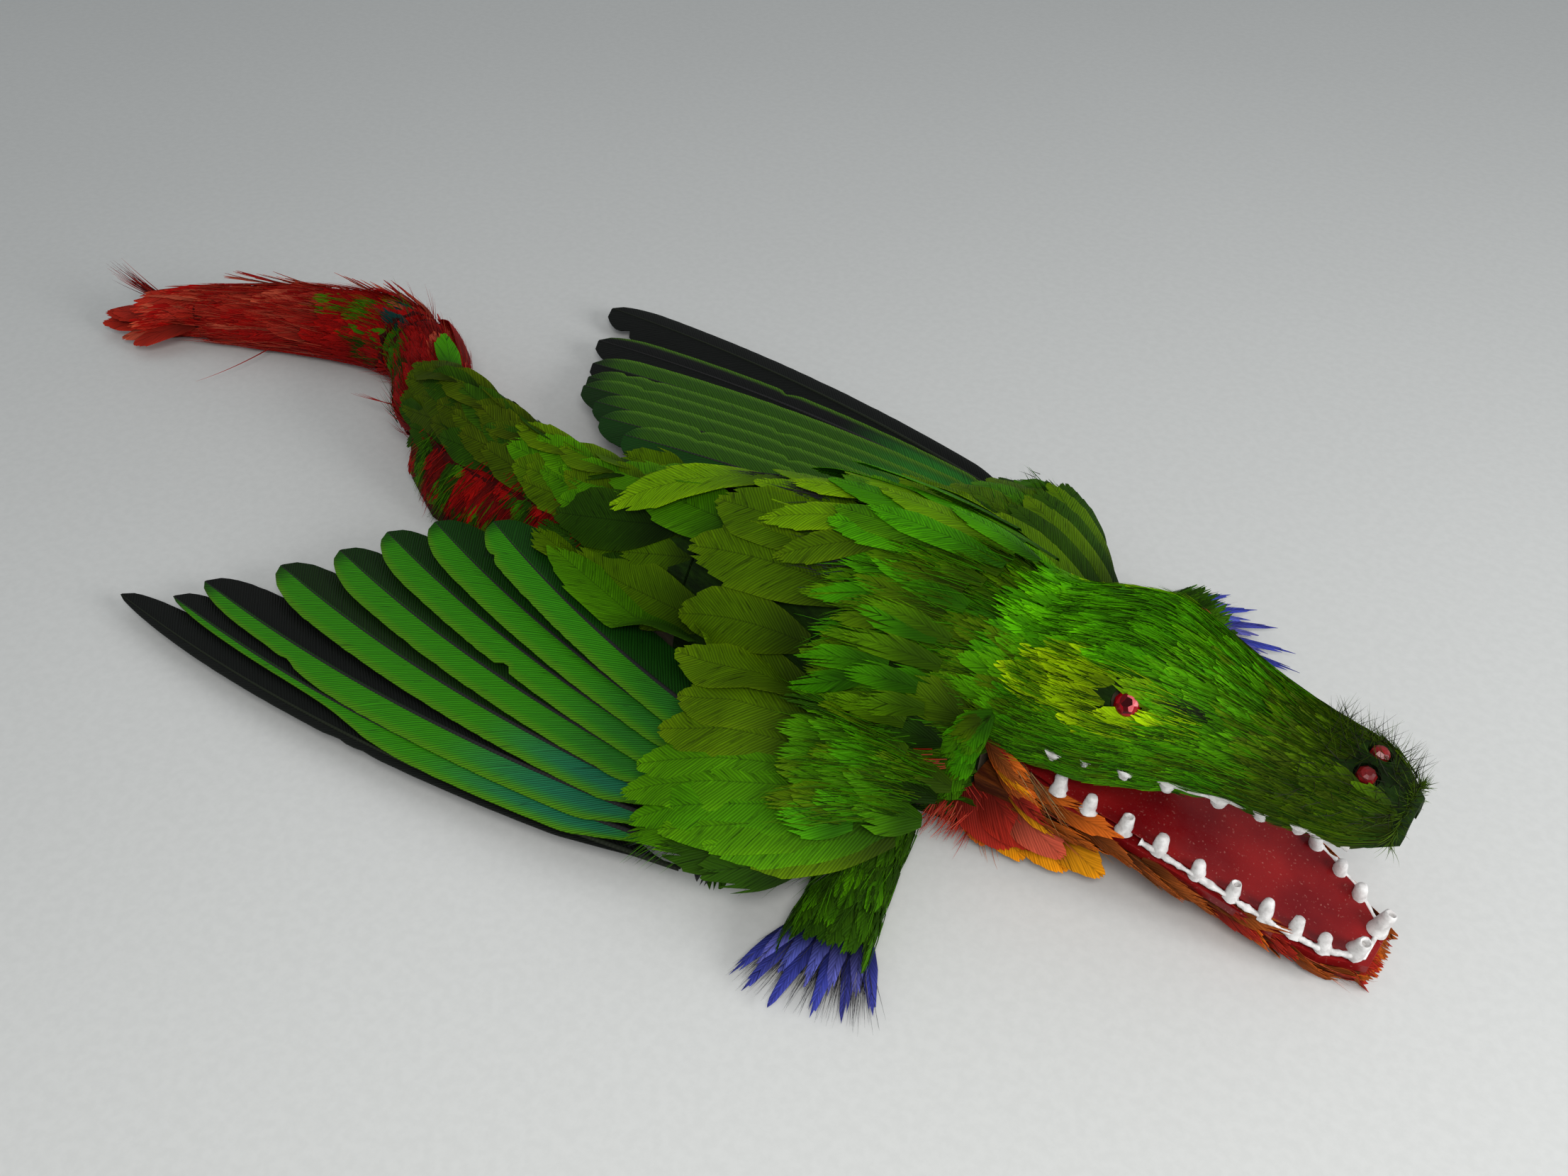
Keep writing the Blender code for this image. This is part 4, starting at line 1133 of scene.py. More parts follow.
def make_face():
    """Dark lashes round the eyes and nostrils as painted shade of their hollows, a dark crease of painted
    shade forward from each eye, bristles on the snout, and the cut eye stones.
    """
    plume = Plume()
    for centre, node in zip(gem_places, GEMS):
        eye = "eye" in node
        side = 1 if "left" in node else -1
        facing = Vector((0.25, side * 0.8, 0.62) if eye else (0.2, side * 0.25, 0.95)).normalized()
        back_way = (Vector((-1, 0, 0)) + facing * facing.x).normalized()
        up_way = facing.cross(back_way)
        for _ in range(320 if eye else 90):
            turn = rng.uniform(0, 2 * math.pi)
            out = back_way * math.cos(turn) + up_way * math.sin(turn)
            stretch = 1.6 + 1.3 * max(0.0, math.cos(turn)) if eye else 1.15
            start = centre + (out * stretch * rng.uniform(0.75, 1.15) - facing * 1.0) * MM
            # near-black: painted shade of the hollow round the stone
            tint = varied((0.004, 0.005, 0.003), 0.3)
            direction = back_way + out * 0.4 + facing * rng.uniform(0.0, 0.5)
            plume.barb(start, direction, facing * -0.1, rng.uniform(1.2, 2.6), 0.11, tint)
    # a short dark crease runs forward from each eye: its dark strands are painted shade in the crease
    for side in (-1, 1):
        for _ in range(36):
            t, a = rng.uniform(46, 50), side * (43 + rng.normal(0, 1.6))
            tint = varied((0.014, 0.020, 0.008), 0.4)
            strand(plume, head, t, a, 180 + rng.uniform(-8, 8), rng.uniform(2, 4), tint, 0.1, 0.5)
    for _ in range(420):
        t, a = rng.uniform(60, 72), rng.uniform(-75, 75)
        start, out = head.point(t, a), head.outward(t, a)
        if near_any(start, gem_places, 1.3):
            continue
        tint = pick((MOSS, 2), ((0.020, 0.024, 0.012), 4))
        direction = Vector((rng.uniform(-0.9, 0.5), rng.uniform(-0.5, 0.5), 0)) + out * 0.45
        plume.barb(start, direction, out * 0.1, rng.uniform(1.8, 4.2), 0.06, tint)
    for _ in range(160):
        a = rng.uniform(-110, 110)
        start, out = head.point(71.5, a), head.outward(71.5, a)
        direction = Vector((rng.uniform(-0.2, 1.0), rng.uniform(-0.6, 0.6), 0)) + out * 0.6
        tint = pick((MOSS, 3), (OLIVE, 1))
        plume.barb(start, direction, Vector((-0.3, 0, -0.2)), rng.uniform(1.5, 3.2), 0.06, tint)
    plume.build("snout_bristles", MATERIALS["hair"], "green_feathers")

    for centre, node in zip(gem_places[:2], GEMS[:2]):
        side = 1 if "left" in node else -1
        stone(node.replace("_gem", "_stone"), centre, (0.25, side * 0.8, 0.62), 1.6, node)


def stone(name, centre, facing, radius, node):
    """A flat-backed stone with rows of turned facets, like a cut glass rhinestone."""
    facing = Vector(facing).normalized()
    turn = Vector((0, 0, 1)).rotation_difference(facing)
    levels = [(-0.7, 0.9, 0), (0.0, 1.0, 0), (0.42, 0.80, 0.5), (0.70, 0.46, 0)]
    points = []
    for height, share, phase in levels:
        for k in range(10):
            a = 2 * math.pi * (k + phase) / 10
            spot = Vector((math.cos(a) * share, math.sin(a) * share, height)) * radius * MM
            points.append(centre + turn @ spot)
    faces = [tuple(range(9, -1, -1)), tuple(range(30, 40))]
    faces += [(k, (k + 1) % 10, 10 + (k + 1) % 10, 10 + k) for k in range(10)]
    for k in range(10):
        n, m = (k + 1) % 10, (k - 1) % 10
        faces += [(10 + k, 10 + n, 20 + k), (20 + k, 10 + n, 20 + n)]
        faces += [(30 + k, 20 + m, 20 + k), (30 + k, 20 + k, 30 + n)]
    mesh = bpy.data.meshes.new(name)
    mesh.from_pydata(points, [], faces)
    place_piece(name, mesh, MATERIALS["gem"], "red_glass", node)


# ---------------------------------------------------------------- mouth


def edge_of(node, margin=0.0):
    """The sides and the height of a CAD sheet: arrays of x, half width and height."""
    points = points_of(node)
    stations = np.unique(points[:, 0].round(1))
    rows = [points[abs(points[:, 0] - x) < 0.15] for x in stations]
    high = [row[:, 2].max() for row in rows]
    wide = [abs(row[:, 1]).max() + margin for row in rows]
    return stations, np.array(wide), np.array(high)


jaw_x, jaw_wide, jaw_top = edge_of("jaw_board")
mouth_x, mouth_wide, mouth_top = edge_of("palate_lining", 2.4)


def jaw_at(x, side, inset, rise=0.0):
    """A place along the lower jaw's rim, inset from its edge."""
    wide = max(float(np.interp(x, jaw_x, jaw_wide)) - inset, 0.3)
    return at(x, side * wide, float(np.interp(x, jaw_x, jaw_top)) + 0.9 + rise)


def mouth_at(x, side, inset, rise=0.0):
    """A place along the upper jaw's rim, inset from its edge."""
    wide = max(float(np.interp(x, mouth_x, mouth_wide)) - inset, 0.3)
    return at(x, side * wide, float(np.interp(x, mouth_x, mouth_top)) + rise)


def turned(points, faces, foot, axis, profile, sides=16, wobble=0.06):
    """Adds a closed round shape: profile is (radius, height) pairs from the foot's middle up."""
    axis = axis.normalized()
    turn = Vector((0, 0, 1)).rotation_difference(axis)
    first = len(points)
    lumps = 1 + wobble * rng.normal(0, 1, (len(profile), sides))
    for i, (radius, height) in enumerate(profile):
        for k in range(sides):
            a = 2 * math.pi * k / sides
            r = radius * lumps[i, k]
            points.append(foot + turn @ (Vector((math.cos(a) * r, math.sin(a) * r, height)) * MM))
    for i in range(len(profile) - 1):
        for k in range(sides):
            n = (k + 1) % sides
            a, b = first + i * sides, first + (i + 1) * sides
            faces.append((a + k, a + n, b + n, b + k))
    faces.append(tuple(first + k for k in reversed(range(sides))))
    last = first + (len(profile) - 1) * sides
    faces.append(tuple(last + k for k in range(sides)))


def bead(points, faces, path, radii, sides=10):
    """Adds a closed lumpy rope along a path."""
    first = len(points)
    count = len(path)
    for i, (middle, radius) in enumerate(zip(path, radii)):
        run = (path[min(i + 1, count - 1)] - path[max(i - 1, 0)]).normalized()
        side = run.cross(Vector((0, 0, 1))).normalized()
        up = side.cross(run)
        for k in range(sides):
            a = 2 * math.pi * k / sides
            r = radius * (1 + 0.10 * rng.normal())
            points.append(middle + (side * math.cos(a) + up * math.sin(a)) * r * MM)
    for i in range(count - 1):
        for k in range(sides):
            n = (k + 1) % sides
            a, b = first + i * sides, first + (i + 1) * sides
            faces.append((a + k, b + k, b + n, a + n))
    faces.append(tuple(first + k for k in range(sides)))
    faces.append(tuple(first + (count - 1) * sides + k for k in reversed(range(sides))))


SOLID_TOOTH = [(1.35, 0), (1.2, 0.2), (1.0, 0.45), (0.9, 0.78), (0.72, 0.93), (0.4, 1.0)]
HOLLOW_TOOTH = SOLID_TOOTH[:4] + [(0.82, 0.96), (0.62, 1.0), (0.40, 0.95), (0.34, 0.75)]
LOWER_NEAR = [34.6, 38.8, 43.6, 48.3, 53.4, 57.8, 62.0, 65.7, 69.2]
LOWER_FAR = [36.5, 41.0, 45.5, 50.0, 54.5, 58.8, 62.6, 66.4, 69.8]
UPPER_NEAR = [34.0, 38.0, 42.6, 47.4, 53.4, 58.2, 62.4]


def build_teeth(name, points, faces):
    mesh = bpy.data.meshes.new(f"{name}_quill_teeth")
    mesh.from_pydata(points, [], faces)
    mesh.shade_smooth()
    mesh.set_sharp_from_angle(angle=math.radians(70))
    place_piece(mesh.name, mesh, MATERIALS["white"], "white_paint", f"{name}_teeth")


def make_teeth():
    """Quill ends dipped in white paint along an uneven painted bead."""
    points, faces = [], []
    for side, places in ((-1, LOWER_NEAR), (1, LOWER_FAR)):
        for k, x in enumerate(places):
            tall = rng.uniform(2.4, 3.0)
            kind = HOLLOW_TOOTH if k in (2, 5) else SOLID_TOOTH
            profile = [(r * rng.uniform(0.80, 0.94), h * tall) for r, h in kind]
            axis = Vector((rng.uniform(-0.08, 0.12), -side * rng.uniform(0.02, 0.2), 1))
            turned(points, faces, jaw_at(x, side, 1.1, -0.5), axis, profile, 16, 0.035)
    for x, y, lean in ((72.4, -2.6, -0.4), (73.3, 2.2, 0.5)):
        profile = [(r * 1.02, h * 3.5) for r, h in HOLLOW_TOOTH]
        foot = at(x, y, float(np.interp(x, jaw_x, jaw_top)) + 0.6)
        turned(points, faces, foot, Vector((0.25, lean * 0.5, 1)), profile, 16, 0.035)
    stations = np.linspace(46, 73.6, 64)
    path = [jaw_at(x, -1, 0.5) for x in stations]
    path += [jaw_at(x, 1, 0.5) for x in stations[::-1]]
    radii = [0.36 + 0.12 * rng.normal() for _ in path]
    bead(points, faces, path, np.clip(blurred(np.array([radii] * 3), 1)[1], 0.18, 0.6))
    build_teeth("lower", points, faces)

    points, faces = [], []
    for side in (-1, 1):
        for x in UPPER_NEAR:
            tall = rng.uniform(1.6, 2.1)
            profile = [(r * rng.uniform(0.8, 1.0), h * tall) for r, h in SOLID_TOOTH]
            axis = Vector((rng.uniform(-0.1, 0.1), -side * 0.12, -1))
            turned(points, faces, mouth_at(x, side, 0.5, 0.1), axis, profile, 16, 0.04)
    for side in (-1, 1):
        path = [mouth_at(x, side, 0.4, -0.3) for x in np.linspace(33, 68, 40)]
        bead(points, faces, path, [0.34 + 0.07 * rng.normal() for _ in path])
    build_teeth("upper", points, faces)


def make_lining():
    """The mouth's lacquered floor, dished between the teeth, and its back wall."""
    plume = Plume()
    rows, columns = 40, 15
    top = np.zeros((rows, columns, 3))
    for i, x in enumerate(np.linspace(26.2, 73.4, rows)):
        for j, share in enumerate(np.linspace(-1, 1, columns)):
            edge = jaw_at(x, 1, 0.9)
            middle = jaw_at(x, 1, 99)
            spot = middle.lerp(edge, abs(share))
            spot.y = ORIGIN.y + math.copysign(abs(spot.y - ORIGIN.y), share)
            dish = 0.1 + 0.55 * abs(share) ** 3 + 0.05 * rng.normal()
            top[i, j] = (spot.x, spot.y, spot.z - 0.25 * MM + dish * MM)
    low = top.copy()
    low[..., 2] -= 0.25 * MM
    blank = np.zeros((rows, columns, 3))
    plume.sheet(top, low, blank, blank, SCARLET)
    plume.build("mouth_floor", MATERIALS["lacquer"], "red_paint", "mouth_floor_lining")

    plume = Plume()
    rows, columns = 9, 13
    top = np.zeros((rows, columns, 3))
    for i, rise in enumerate(np.linspace(0, 1, rows)):
        for j, share in enumerate(np.linspace(-1, 1, columns)):
            foot = jaw_at(26.4, 1, 1.2)
            lid = mouth_at(27.6, 1, 1.4)
            wide = (foot.y - ORIGIN.y) * (1 - rise) + (lid.y - ORIGIN.y) * rise
            z = foot.z * (1 - rise) + lid.z * rise
            x = foot.x - math.sin(math.pi * rise) * 0.9 * MM * (1 - share**2) + 1.2 * MM * share**4
            top[i, j] = (x, ORIGIN.y + wide * share, z)
    behind = top.copy()
    behind[..., 0] -= 0.3 * MM
    blank = np.zeros((rows, columns, 3))
    plume.sheet(top, behind, blank, blank, SCARLET)
    plume.build("mouth_back", MATERIALS["lacquer"], "red_paint")


jaw = Round(
    ["jaw_board", "jaw_underside_feathers", "throat_feathers"],
    27,
    74,
    lambda t: at(t, 0, float(np.interp(t, jaw_x, jaw_top)) - 0.7),
)


def make_jaw():
    """Feathers along the lower jaw's sides, the throat's tufts and the barbs at the mouth's corner."""
    plume, loose = Plume(), Plume()
    for side in (-1, 1):
        for t, a in rows_of((30, 71), 2.2, lambda p: (94, 162), 12):
            if t < 50:
                tint = pick((ORANGE, 3), (RUST, 3), (BROWN, 1))
            else:
                tint = pick((ORANGE, 2), (RUST, 2), (RED, 4))
            long = rng.uniform(8, 12) if t < 58 else min(rng.uniform(5, 7), 76 - t)
            shape = {"lift": (0.6, 1.8), "fray": 0.4, "columns": 11, "rows": 7}
            lay(plume, jaw, t, side * a, rng.uniform(-7, 7), long, rng.uniform(2.2, 3.2), tint, **shape)
        for _ in range(420):
            t, a = rng.uniform(29, 71), rng.uniform(90, 140)
            tint = pick((ORANGE, 2), (RUST, 3), (BROWN, 1), (SALMON, 1))
            long = rng.uniform(3, min(7, 77 - t))
            strand(loose, jaw, t, side * a, rng.uniform(-10, 10), long, tint, 0.1, 0.6, 0.07)
        # wisps under the tip, swept back
        for _ in range(46):
            t, a = rng.uniform(64, 73), side * rng.uniform(100, 150)
            tint = pick((SCARLET, 2), (SALMON, 2), (ORANGE, 1))
            strand(loose, jaw, t, a, 180 + rng.uniform(-20, 20), rng.uniform(3, 7), tint, 0.15, 0.3)
        # long brown barbs at the mouth's corner
        for _ in range(70):
            x = rng.uniform(25, 33)
            start = jaw_at(max(x, 26), side, -0.4, rng.uniform(0.0, 5.5 - (x - 25) * 0.6))
            direction = (rng.uniform(0.5, 1.0), side * rng.uniform(0.0, 0.25), rng.uniform(-0.9, -0.2))
            tint = pick((BROWN, 3), (RUST, 2), ((0.30, 0.20, 0.08), 2))
            loose.barb(start, direction, (0, 0, -0.1), rng.uniform(4, 8), 0.07, tint)
        # feathers that close the mouth's corner, green above and orange below
        for _ in range(26):
            share = rng.random()
            start = (23.5 + 5.0 * share, side * (12.4 + rng.uniform(-0.4, 0.5)), 20.0 - 8.5 * share)
            long = rng.uniform(6, 10)
            fall = rng.uniform(0.35, 0.75)
            end = (start[0] + long * 0.85, start[1] - side * 0.5, start[2] - long * fall)
            tint = pick((ORANGE, 3), (RUST, 2), (AMBER, 1), (RED, 1))
            hang(plume, start, end, (0, side, 0.3), 2.0, tint, bow=0.5, fray=0.55, columns=9)
    for side in (-1, 1):
        rows = [
            ((22.5, 12.5, 9.5), (31, 14.2, 3.0), 7.5, RED),
            ((25, 12.0, 10), (34, 13.4, 4.5), 7.0, RED),
            ((28, 11.8, 9.6), (38, 12.4, 4.8), 6.0, SALMON),
            ((25, 10.5, 7.0), (33, 13.6, 1.6), 6.5, AMBER),
            ((29, 10.0, 6.6), (38.5, 12.2, 2.2), 6.5, AMBER),
            ((33, 9.4, 6.4), (43, 10.8, 3.2), 5.6, AMBER),
            ((23, 11.0, 6.5), (27.5, 14.6, 1.4), 5.0, ORANGE),
        ]
        for start, end, width, colour in rows:
            facing = (0.1, side * 0.75, 0.65)
            start, end = (start[0], side * start[1], start[2]), (end[0], side * end[1], end[2])
            shape = {"fray": 0.06, "columns": 21, "rows": 12, "point": 0.5, "root": 0.5}
            hang(plume, start, end, facing, width, varied(colour, 0.1), bow=1.2, **shape)
            for _ in range(22):
                wander = Vector(rng.uniform(-1, 1, 3) * np.array((3.2, 1.2, 1.6)))
                run = Vector(end) - Vector(start)
                place = at(*(Vector(start) + run * rng.uniform(0, 0.4) + wander))
                tint = varied(colour, 0.25)
                loose.barb(place, run, (0, 0, 0.05), rng.uniform(4, 7), 0.10, tint)
        for _ in range(150):
            x = rng.uniform(19.5, 25.5)
            start = at(x, side * rng.uniform(12.5, 15.0), rng.uniform(3.0, 7.5))
            direction = (rng.uniform(-0.5, 0.3), side * rng.uniform(0.4, 1.0), rng.uniform(-1.2, -0.4))
            tint = pick((SALMON, 2), (RED, 3))
            loose.barb(start, direction, (0, side * 0.2, 0.1), rng.uniform(2.5, 4.5), 0.10, tint)
    build_patch("jaw", plume, loose, "orange_feathers")


# ---------------------------------------------------------------- legs


def turned_way(way, angle, rise=0.0):
    """A level direction turned about the vertical, with a rise of its own."""
    x = way.x * math.cos(angle) - way.y * math.sin(angle)
    return Vector((x, way.x * math.sin(angle) + way.y * math.cos(angle), rise))


def make_leg(name, side, forward):
    """A sleeve of green feathers down to the ankle, then the toes."""
    root = Vector((13 + 0.4 * forward, side * 12, 4.6))
    foot = Vector((21 + forward, side * 40, 3.8))
    along = (foot - root).normalized()
    across = along.cross(Vector((0, 0, 1))).normalized()
    up = across.cross(along)
    length = (foot - root).length

    def middle(t):
        return at(*(root + along * t))

    sleeve = Round([f"{name}_leg_feathers"], 10, length, middle, across, up, 1)
    plume, loose = Plume(), Plume()
    for t, a in rows_of((8, length - 3), 2.3, lambda p: (-150, 165), 24):
        tint = pick((LEG_GREEN, 4), (DEEP, 4), (LEAF, 1))
        long = min(rng.uniform(7, 10), length + 4.2 - t)
        shape = {"lift": (0.1, 0.6), "fray": 0.45, "columns": 11, "rows": 7}
        lay(plume, sleeve, t, a, rng.uniform(-6, 6), long, rng.uniform(2.4, 3.2), tint, **shape)
    for _ in range(260):
        t, a = rng.uniform(9, length - 1), rng.uniform(-150, 150)
        tint = pick((LEAF, 1), (DEEP, 4))
        long = min(rng.uniform(3, 7), length + 4.5 - t)
        strand(loose, sleeve, t, a, rng.uniform(-10, 10), long, tint, 0.05, 0.6)
    build_patch(f"{name}_leg", plume, loose, "green_feathers")
    make_toes(name, side, foot, along, across)


def make_toes(name, side, foot, along, across):
    """Narrow blue feathers over dark down. Share runs from one edge of the fan to the other."""
    plume, loose = Plume(), Plume()
    toes = [(0.02, -30, 9.6), (0.16, -22, 11.0), (0.36, -12, 11.4), (0.60, 2, 10.6)]
    toes += [(0.80, 12, 9.6), (0.98, 24, 8.0), (0.26, -16, 6.6), (0.47, -4, 6.6)]
    toes += [(0.66, 6, 6.8), (0.88, 16, 6.4), (0.08, -26, 6.6)]

    def ankle(share):
        return foot + across * (share * 2 - 1) * -4.7 - along * 1.2

    for k, (share, angle, long) in enumerate(toes):
        if side > 0:
            angle -= 26
            long += 3.5
        a = math.radians(angle)
        ray = turned_way(along, a)
        base = ankle(share)
        over = 0.8 if k > 5 else 0.0
        start = Vector((base.x, base.y, 3.0 + over))
        end = start + ray * (long + 1.2)
        end.z = 0.7 + over * 0.6
        shape = {"fray": 0.25, "columns": 9, "rows": 10, "point": 0.6, "root": 0.8, "camber": 0.25}
        tint = varied(BLUE if k < 6 else PALE_BLUE, 0.2)
        hang(plume, start, end, (0, 0, 1), 2.1, tint, bow=0.5, **shape)
    for _ in range(420):
        share = rng.uniform(0, 1)
        base = ankle(share)
        a = math.radians((share * 2 - 1) * 28 - 4 + rng.uniform(-12, 12))
        if side > 0:
            a -= math.radians(30)
        ray = turned_way(along, a, rng.uniform(-0.22, 0.02))
        tint = pick((SLATE, 3), ((0.020, 0.020, 0.030), 3), ((0.16, 0.15, 0.15), 1))
        start = at(base.x, base.y, rng.uniform(1.6, 3.2))
        loose.barb(start, ray, (0, 0, -0.02), rng.uniform(4, 11.5), 0.08, tint)
    build_patch(f"{name}_toe", plume, loose, "blue_feathers", f"{name}_toe_feathers")


def make_legs():
    make_leg("right", -1, 0.0)
    make_leg("left", 1, 9.0)


# ---------------------------------------------------------------- hind body and tail


hind = Round(
    ["hind_back_feathers", "right_flank_feathers", "left_flank_feathers", "body_core", "rump_feathers"],
    -93,
    -40,
    lambda t: at(t, 0, 8.0),
)
spine = points_of("tail_core")
spine_y = np.polyfit(spine[:, 0], spine[:, 1], 5)
spine_z = np.polyfit(spine[:, 0], spine[:, 2], 3)


def tail_middle(t):
    return at(t, float(np.polyval(spine_y, t)), float(np.polyval(spine_z, t)))


tail = Round(["tail_barred_feathers", "tail_red_feathers", "tail_core"], -163, -94, tail_middle)

# Green and blue-green patches on the red tail: place along it, angle, reach in mm and degrees.
TAIL_PATCHES = [
    (-136, -30, 2.0, 18, LEAF),
    (-128, -25, 2.8, 26, LEAF),
    (-121, -8, 2.4, 22, PEACOCK),
    (-123, 10, 2.0, 16, LEAF),
    (-118, -45, 2.6, 26, LEAF),
    (-114, -60, 2.4, 40, LEAF),
    (-106, -70, 2.0, 40, DEEP),
    (-126, -85, 2.5, 25, DEEP),
]


def tail_tint(t, a):
    for place, angle, reach, spread, colour in TAIL_PATCHES:
        if ((t - place) / reach) ** 2 + ((a - angle) / spread) ** 2 < 1:
            return varied(colour, 0.2)
    if t < -137:
        return pick((SALMON, 2), (RED, 4), (SCARLET, 4))
    if a > 20:
        return pick((SCARLET, 3), (SALMON, 1), (RED, 2))
    return pick((SCARLET, 7), (CRIMSON, 1))


def flank_tint(t, a):
    """Red and green bars slant down and back across the flank."""
    if -76 < t < -66 and a < 72:
        return pick((SCARLET, 3), (DARK_RED, 1))
    if math.sin((t + (a - 46) * 0.05) * 0.78) > 0.25:
        return pick((LEAF, 3), (DEEP, 3), (OLIVE, 1))
    return pick((SCARLET, 4), (BLACK_RED, 3), (DEEP, 0.6))


def make_hind():
    """The green ridge, the barred flanks and the long feathers where the tail leaves the body."""
    plume = Plume()
    for t, a in rows_of((-87, -44), 4.2, lambda p: (-42, 42), 16):
        tint = pick((HIND_OLIVE, 4), (DEEP, 2))
        if t > -60:
            tint = pick((LEAF, 2), (OLIVE, 1)) if a < 0 else pick((OLIVE, 2), (DEEP, 2))
        shape = {"fray": 0.10, "columns": 17, "rows": 12, "lift": (0.2, 0.8), "camber": 0.08}
        heading = 180 + rng.uniform(-7, 7)
        long = min(rng.uniform(12, 15), t + 96)
        lay(plume, hind, t, a, heading, long, rng.uniform(5.6, 6.8), tint, **shape)
    plume.build("hind_back_plumage", MATERIALS["covert"], "green_feathers")

    for name, side in SIDES:
        plume, loose = Plume(), Plume()
        for t, a in rows_of((-89, -48), 2.2, lambda p: (44, 124), 9):
            heading = 180 - side * rng.uniform(48, 66)
            long = min(rng.uniform(6, 9), (t + 95.5) / 0.5)
            shape = {"fray": 0.42, "columns": 13, "rows": 7, "lift": (0.1, 0.5)}
            lay(plume, hind, t, side * a, heading, long, 2.8, flank_tint(t - 1.5, a), **shape)
        for _ in range(420):
            t, a = rng.uniform(-89, -50), rng.uniform(44, 124)
            heading = 180 - side * rng.uniform(45, 70)
            long, tint = rng.uniform(4, 7), flank_tint(t - 1.5, a)
            strand(loose, hind, t, side * a, heading, long, tint, 0.08, 0.5)
        build_patch(f"{name}_flank", plume, loose, "scarlet_feathers")

    # long feathers on the left where the tail leaves the body
    plume = Plume()
    shape = {"fray": 0.12, "columns": 15, "rows": 14, "camber": 0.1}
    lay(plume, hind, -82, 62, 184, 15, 6.0, varied(SALMON), lift=(0.6, 1.8), **shape)
    lay(plume, tail, -94, 34, 180, 12, 5.0, varied(GRASS), lift=(0.8, 1.6), **shape)
    lay(plume, tail, -97, 70, 180, 22, 6.0, varied(SCARLET), lift=(0.6, 2.0), **shape)
    lay(plume, hind, -86, 84, 182, 16, 6.0, varied(SCARLET), lift=(0.4, 1.4), **shape)
    plume.build("tail_root_plumes", MATERIALS["contour"], "scarlet_feathers")


def make_tail():
    """Long red feathers round the tail, the flat bundle at its tip, and the stray filaments."""
    plume, loose = Plume(), Plume()
    for t, a in rows_of((-158, -94), 2.6, lambda p: (-150, 150), 19):
        shape = {"lift": (0.0, 0.6), "fray": 0.32, "columns": 13, "rows": 8}
        heading = 180 + rng.uniform(-8, 8)
        long = rng.uniform(14, 20) if t < -130 else rng.uniform(9, 12)
        long = min(long, t + 171.0)
        tint = tail_tint(t - long * 0.7, a)
        lay(plume, tail, t, a, heading, long, rng.uniform(3.4, 4.8), tint, **shape)
    # spiky feathers along the top edge
    for t, a, long in ((-146, 40, 12), (-140, 55, 12), (-128, 50, 10), (-121, 48, 10), (-118, 58, 11)):
        for _ in range(5):
            turn = 180 + rng.uniform(2, 26)
            shape = {"lift": (0.3, rng.uniform(2, 4)), "fray": 0.5, "columns": 9, "rows": 7}
            tint = pick((SALMON, 2), (SCARLET, 1))
            spot = (t + rng.uniform(-3, 3), a + rng.uniform(-8, 8))
            lay(plume, tail, *spot, turn, long + rng.uniform(-2, 2), 2.2, tint, **shape)
    for _ in range(1500):
        t, a = rng.uniform(-161, -95), rng.uniform(-150, 150)
        long = min(rng.uniform(5, 11), t + 170.0)
        tint = tail_tint(t - long * 0.6, a)
        strand(loose, tail, t, a, 180 + rng.uniform(-12, 12), long, tint, 0.12, 0.7, 0.07)
    plume.build("tail_plumage", MATERIALS["contour"], "scarlet_feathers")

    # the tip: long feathers in a flat bundle
    plume = Plume()
    ends = [(-180, -9, 2.6), (-180, -11, 2.2), (-177, -7, 3.2), (-172, -12, 2.0), (-179, -8, 3.6)]
    ends += [(-169, -3.5, 5.0), (-168, -12, 2.2), (-179.5, -10, 4.2), (-166, -4, 6.4), (-178, -9.5, 4.8)]
    for end in ends:
        start = (-158 + rng.uniform(-2, 3), 2.6 + rng.uniform(-2.4, 2.4), 5.2 + rng.uniform(-1.5, 2.6))
        shape = {"fray": 0.04, "columns": 17, "rows": 14, "point": 0.16, "lift": (0.1, 0.4)}
        tint = pick((SALMON, 2), (RED, 3))
        hang(plume, start, end, (0, -0.25, 1), rng.uniform(4.4, 5.6), tint, bow=0.6, **shape)
    plume.build("tail_tip_plumage", MATERIALS["contour"], "scarlet_feathers", "tail_tip_feathers")

    # a stiff tuft at the top of the tip, and stray filaments
    for _ in range(34):
        start = at(-168 + rng.uniform(-3, 1), -2.2 + rng.uniform(-0.8, 0.8), 7.2)
        direction = (-1, rng.uniform(-0.28, 0.02), rng.uniform(0.05, 0.34))
        tint = pick((SCARLET, 3), (RED, 1), ((0.10, 0.010, 0.010), 2))
        loose.barb(start, direction, (0, 0, 0.1), rng.uniform(9, 15), 0.15, tint)
    loose.barb(at(-146, 4, 2.5), (0.05, -1, -0.02), (-0.15, 0.15, 0), 19, 0.15, FILAMENT_RED, 12)
    loose.barb(at(-141, 7, 3.5), (-0.6, -1, -0.05), (-0.3, 0.4, 0), 6, 0.08, FILAMENT_RED, 8)
    for shift in (0.0, 0.5, 1.0, 1.4):
        start = at(-103 - shift, 4.2 - shift * 0.3, 6 - shift * 0.6)
        away = (-1, -0.3 + shift * 0.1, -0.1)
        loose.barb(start, away, (0, 0.1, 0), 16.5 - 2 * shift, 0.17, FILAMENT_RED, 8)
    loose.build("tail_barbs", MATERIALS["hair"], "scarlet_feathers")


# ---------------------------------------------------------------- stage


TABLE_REACH = 3.0
SKY_COLOUR, SKY_STRENGTH = (0.93, 0.97, 1.0, 1.0), 0.36
CAMERA_PLACE, CAMERA_TARGET = at(83.2, -128.6, 154.2), at(-26.1, 11.2, 0)
LENS, SENSOR = 33.84, 36.0


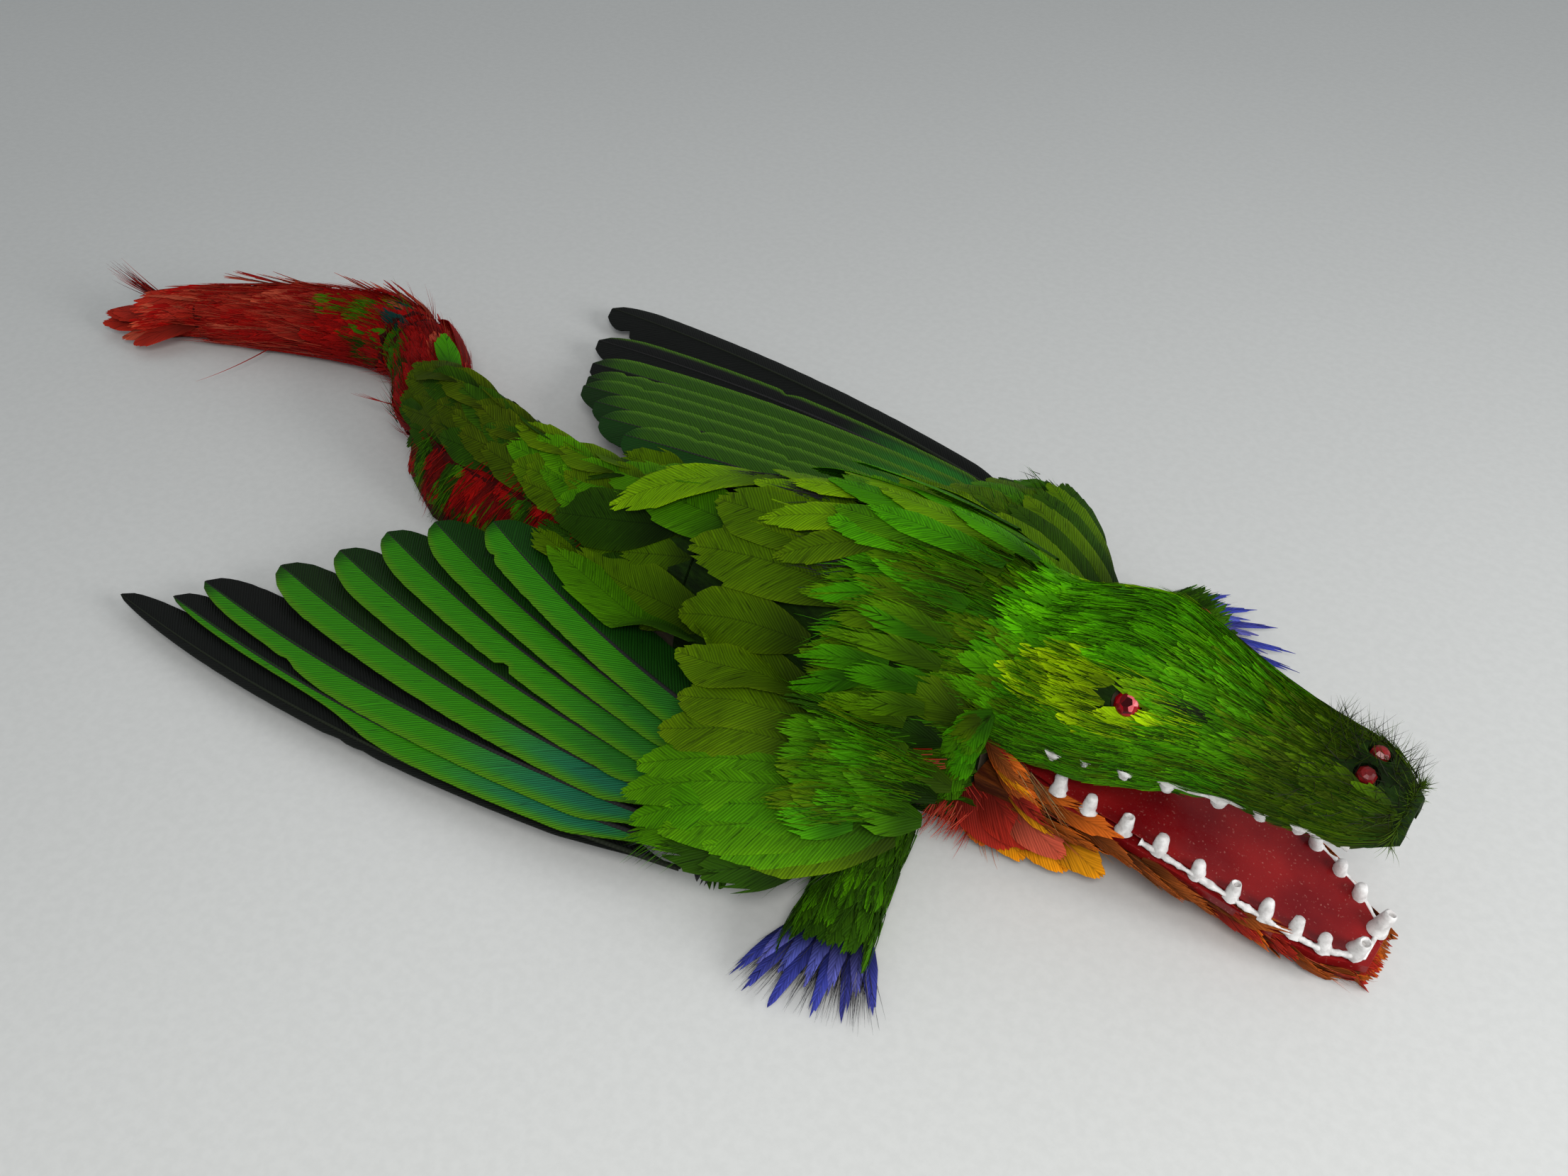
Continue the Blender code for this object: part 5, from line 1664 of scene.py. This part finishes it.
def aim(obj, place, target):
    obj.location = place
    obj.rotation_mode = "QUATERNION"
    obj.rotation_quaternion = (target - place).to_track_quat("-Z", "Y")


def make_stage():
    """A pale table, two soft lamps, the room's light, and the camera."""
    g = Graph("table_top")
    place = g.object_place()
    grain = g.noise(place, 700.0, 3.0, 0.6)
    broad = g.noise(place, 8.0, 2.0)
    colour = g.mix(g.ramp(grain, 0.3, 0.7), (0.66, 0.67, 0.66), (0.69, 0.70, 0.69))
    colour = g.scale(colour, g.math("MULTIPLY_ADD", broad, 0.06, 0.97))
    look = g.finish(colour, 0.8, grain, 0.1, 0.05, Specular_IOR_Level=0.1)
    mesh = bpy.data.meshes.new("table")
    signs = ((-1, -1), (1, -1), (1, 1), (-1, 1))
    corners = [(x * TABLE_REACH, y * TABLE_REACH, CAD_LOW.z) for x, y in signs]
    mesh.from_pydata(corners, [], [(0, 1, 2, 3)])
    mesh.materials.append(look)
    linked("table", mesh)

    world = bpy.data.worlds.new("room")
    bpy.context.scene.world = world
    world.use_nodes = True
    sky = world.node_tree.nodes["Background"].inputs
    sky["Color"].default_value, sky["Strength"].default_value = SKY_COLOUR, SKY_STRENGTH

    def lamp(name, place, target, size, power, colour):
        data = bpy.data.lights.new(name, "AREA")
        data.shape = "DISK"
        data.size = size
        data.energy = power
        data.color = colour
        aim(linked(name, data), place, target)

    middle = at(-20, -10, 0)
    lamp("key", at(150, -190, 300), middle, 0.13, 0.62, (1.0, 0.98, 0.95))
    lamp("side", at(450, 40, 200), middle, 0.25, 1.35, (1.0, 1.0, 1.0))

    data = bpy.data.cameras.new("camera")
    data.lens, data.sensor_width = LENS, SENSOR
    data.clip_start, data.clip_end = 0.005, 20.0
    camera = linked("camera", data)
    aim(camera, CAMERA_PLACE, CAMERA_TARGET)
    bpy.context.scene.camera = camera
    bpy.context.scene.view_settings.view_transform = "Standard"
    bpy.context.scene.view_settings.look = "None"


make_wings()
make_back()
make_neck()
make_head()
make_face()
make_teeth()
make_lining()
make_jaw()
make_legs()
make_hind()
make_tail()
make_stage()
